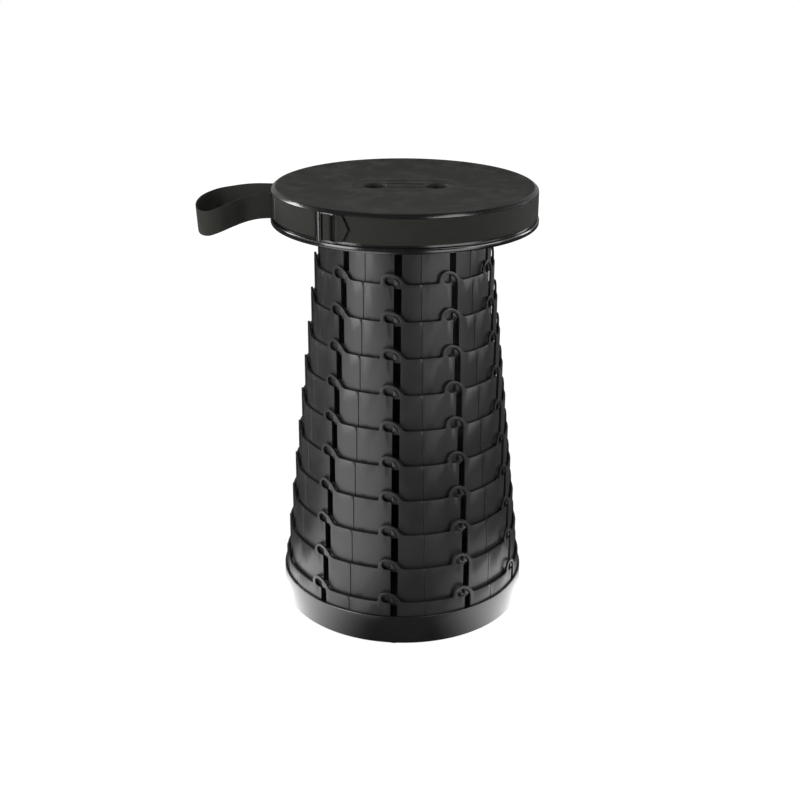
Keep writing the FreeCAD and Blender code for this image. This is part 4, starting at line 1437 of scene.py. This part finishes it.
@dataclass(frozen=True)
class Studio:
    """White floor, white surroundings and soft lamps."""

    floor_size: float = 8.0
    floor_drop: float = 0.0003
    floor_white: float = 0.8
    floor_roughness: float = 0.9
    floor_specular: float = 0.1
    floor_light: float = 1.06
    shadow_share: float = 0.10
    shadow_reach: Span = (0.3, 0.9)
    front_to_back: tuple[Span, ...] = (
        (-1.0, 0.03), (-0.78, 0.10), (-0.5, 0.55), (-0.15, 1.5), (0.2, 1.2), (0.6, 0.45), (1.0, 0.4),
    )
    brightest: float = 1.6
    ceiling: Span = (0.3, 0.85)
    under_ceiling: float = 0.12
    side_light: float = 4.4
    left_light: float = 3.2
    right_light: float = 4.0
    dark_light: float = 0.06
    side_from: Span = angles(14.0, 66.0)
    side_to: Span = angles(75.0, 110.0)
    left_from: Span = angles(-88.0, -68.0)
    left_to: Span = angles(-20.0, -10.0)
    right_from: Span = angles(14.0, 26.0)
    right_to: Span = angles(52.0, 70.0)
    mirror_near: Span = (0.2, 0.27)
    mirror_far: Span = (1.10, 1.17)
    target: tuple[float, float, float] = (0.0, 0.0, 0.22)

    def painted_reflections(self, graph: Graph) -> bpy.types.NodeSocket:
        """Glow of the floor that only glossy rays see: painted reflections.

        It is dark in front. Pale glowing fields to the left and right of the base show as painted
        highlights in its band, one to the front left as painted highlights in the rings, and one far off to
        the front right in the lip.
        """
        reach, x, y = reach_of(graph)
        azimuth = x.arctan2(0.0 - y)
        aside = azimuth.absolute()
        side = aside.over(*self.side_from) * (1.0 - aside.over(*self.side_to))
        near = 1.0 - reach.over(*self.mirror_near)
        beyond = reach.over(*self.mirror_far)
        left = azimuth.over(*self.left_from) * (1.0 - azimuth.over(*self.left_to))
        left = left * (1.0 - near) * (1.0 - beyond)
        right = beyond * azimuth.over(*self.right_from) * (1.0 - azimuth.over(*self.right_to))
        total = side * near * self.side_light + left * self.left_light + right * self.right_light
        total = total + self.dark_light
        return graph.vector(total, total, total)

    def floor(self) -> None:
        """White floor that keeps the stool's shadow, glows in painted reflections to glossy rays and is
        clear from below.
        """
        bm = bmesh.new()
        bmesh.ops.create_grid(bm, x_segments=1, y_segments=1, size=self.floor_size / 2)
        bmesh.ops.translate(bm, verts=bm.verts, vec=UP * -self.floor_drop)
        mesh = bpy.data.meshes.new("studio_floor")
        bm.to_mesh(mesh)
        bm.free()
        floor = bpy.data.objects.new("studio_floor", mesh)
        bpy.context.scene.collection.objects.link(floor)
        graph = Graph("floor_white")
        graph.surface(
            Base_Color=(*grey(self.floor_white), 1.0), Roughness=self.floor_roughness,
            Specular_IOR_Level=self.floor_specular,
        )
        matte = graph.shader.outputs["BSDF"]
        shadow = 1.0 - reach_of(graph)[0].over(*self.shadow_reach)
        white = graph.mix(1.0 - shadow * self.shadow_share, matte, graph.glow(WHITE, self.floor_light))
        # Glossy rays see the floor's glowing fields: painted reflections on the band, rings and lip.
        mirror = graph.mix(graph.of_ray("Glossy"), matte, graph.glow(self.painted_reflections(graph)))
        above = graph.mix(graph.of_ray("Camera"), mirror, white)
        below = graph.node("ShaderNodeNewGeometry").outputs["Backfacing"]
        graph.show(graph.mix(below, above, graph.node("ShaderNodeBsdfTransparent").outputs["BSDF"]))
        mesh.materials.append(graph.material)

    def surroundings(self) -> None:
        """World that is white to the camera and softer to the stool."""
        world = bpy.data.worlds.new("studio_world")
        bpy.context.scene.world = world
        tree = Tree(world, "ShaderNodeOutputWorld")
        _, depth, height = tree.parts(tree.node("ShaderNodeTexCoord").outputs["Generated"])
        place = tree.node("ShaderNodeMapRange", {"Value": depth, "From Min": -1.0}).outputs["Result"]
        ramp = tree.node("ShaderNodeValToRGB", {"Fac": place})
        ramp.color_ramp.interpolation = "EASE"
        stops = ramp.color_ramp.elements
        while len(stops) < len(self.front_to_back):
            stops.new(1.0)
        for stop, (position, strength) in zip(stops, self.front_to_back):
            stop.position = (position + 1.0) / 2.0
            stop.color = (*grey(strength / self.brightest), 1.0)
        low, high = self.ceiling
        upper = tree.node("ShaderNodeMapRange", {
            "Value": height, "From Min": low, "From Max": high,
            "To Min": self.brightest, "To Max": self.under_ceiling,
        }, interpolation_type="SMOOTHSTEP")
        light = Signal(tree, ramp.outputs["Color"]) * Signal(tree, upper.outputs["Result"])
        soft = tree.node("ShaderNodeBackground", {"Color": WHITE, "Strength": light})
        white = tree.node("ShaderNodeBackground", {"Color": WHITE})
        tree.show(tree.mix(tree.of_ray("Camera"), soft.outputs["Background"], white.outputs["Background"]))

    def build(self) -> None:
        """Build the studio."""
        self.floor()
        self.surroundings()
        for lamp in LAMPS:
            lamp.build(Vector(self.target))


def main() -> None:
    """Build the dressed stool and its studio."""
    logging.basicConfig(level=logging.INFO, format="%(name)s: %(message)s")
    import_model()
    bpy.context.scene.view_settings.view_transform = "Standard"
    PhotoCamera().build()
    Studio().build()
    paints = Paints.mix()
    TubeStack(paints).build()
    Base(paints).build()
    Seat(paints).build()
    Straps(paints).build()


if __name__ == "__main__":
    main()
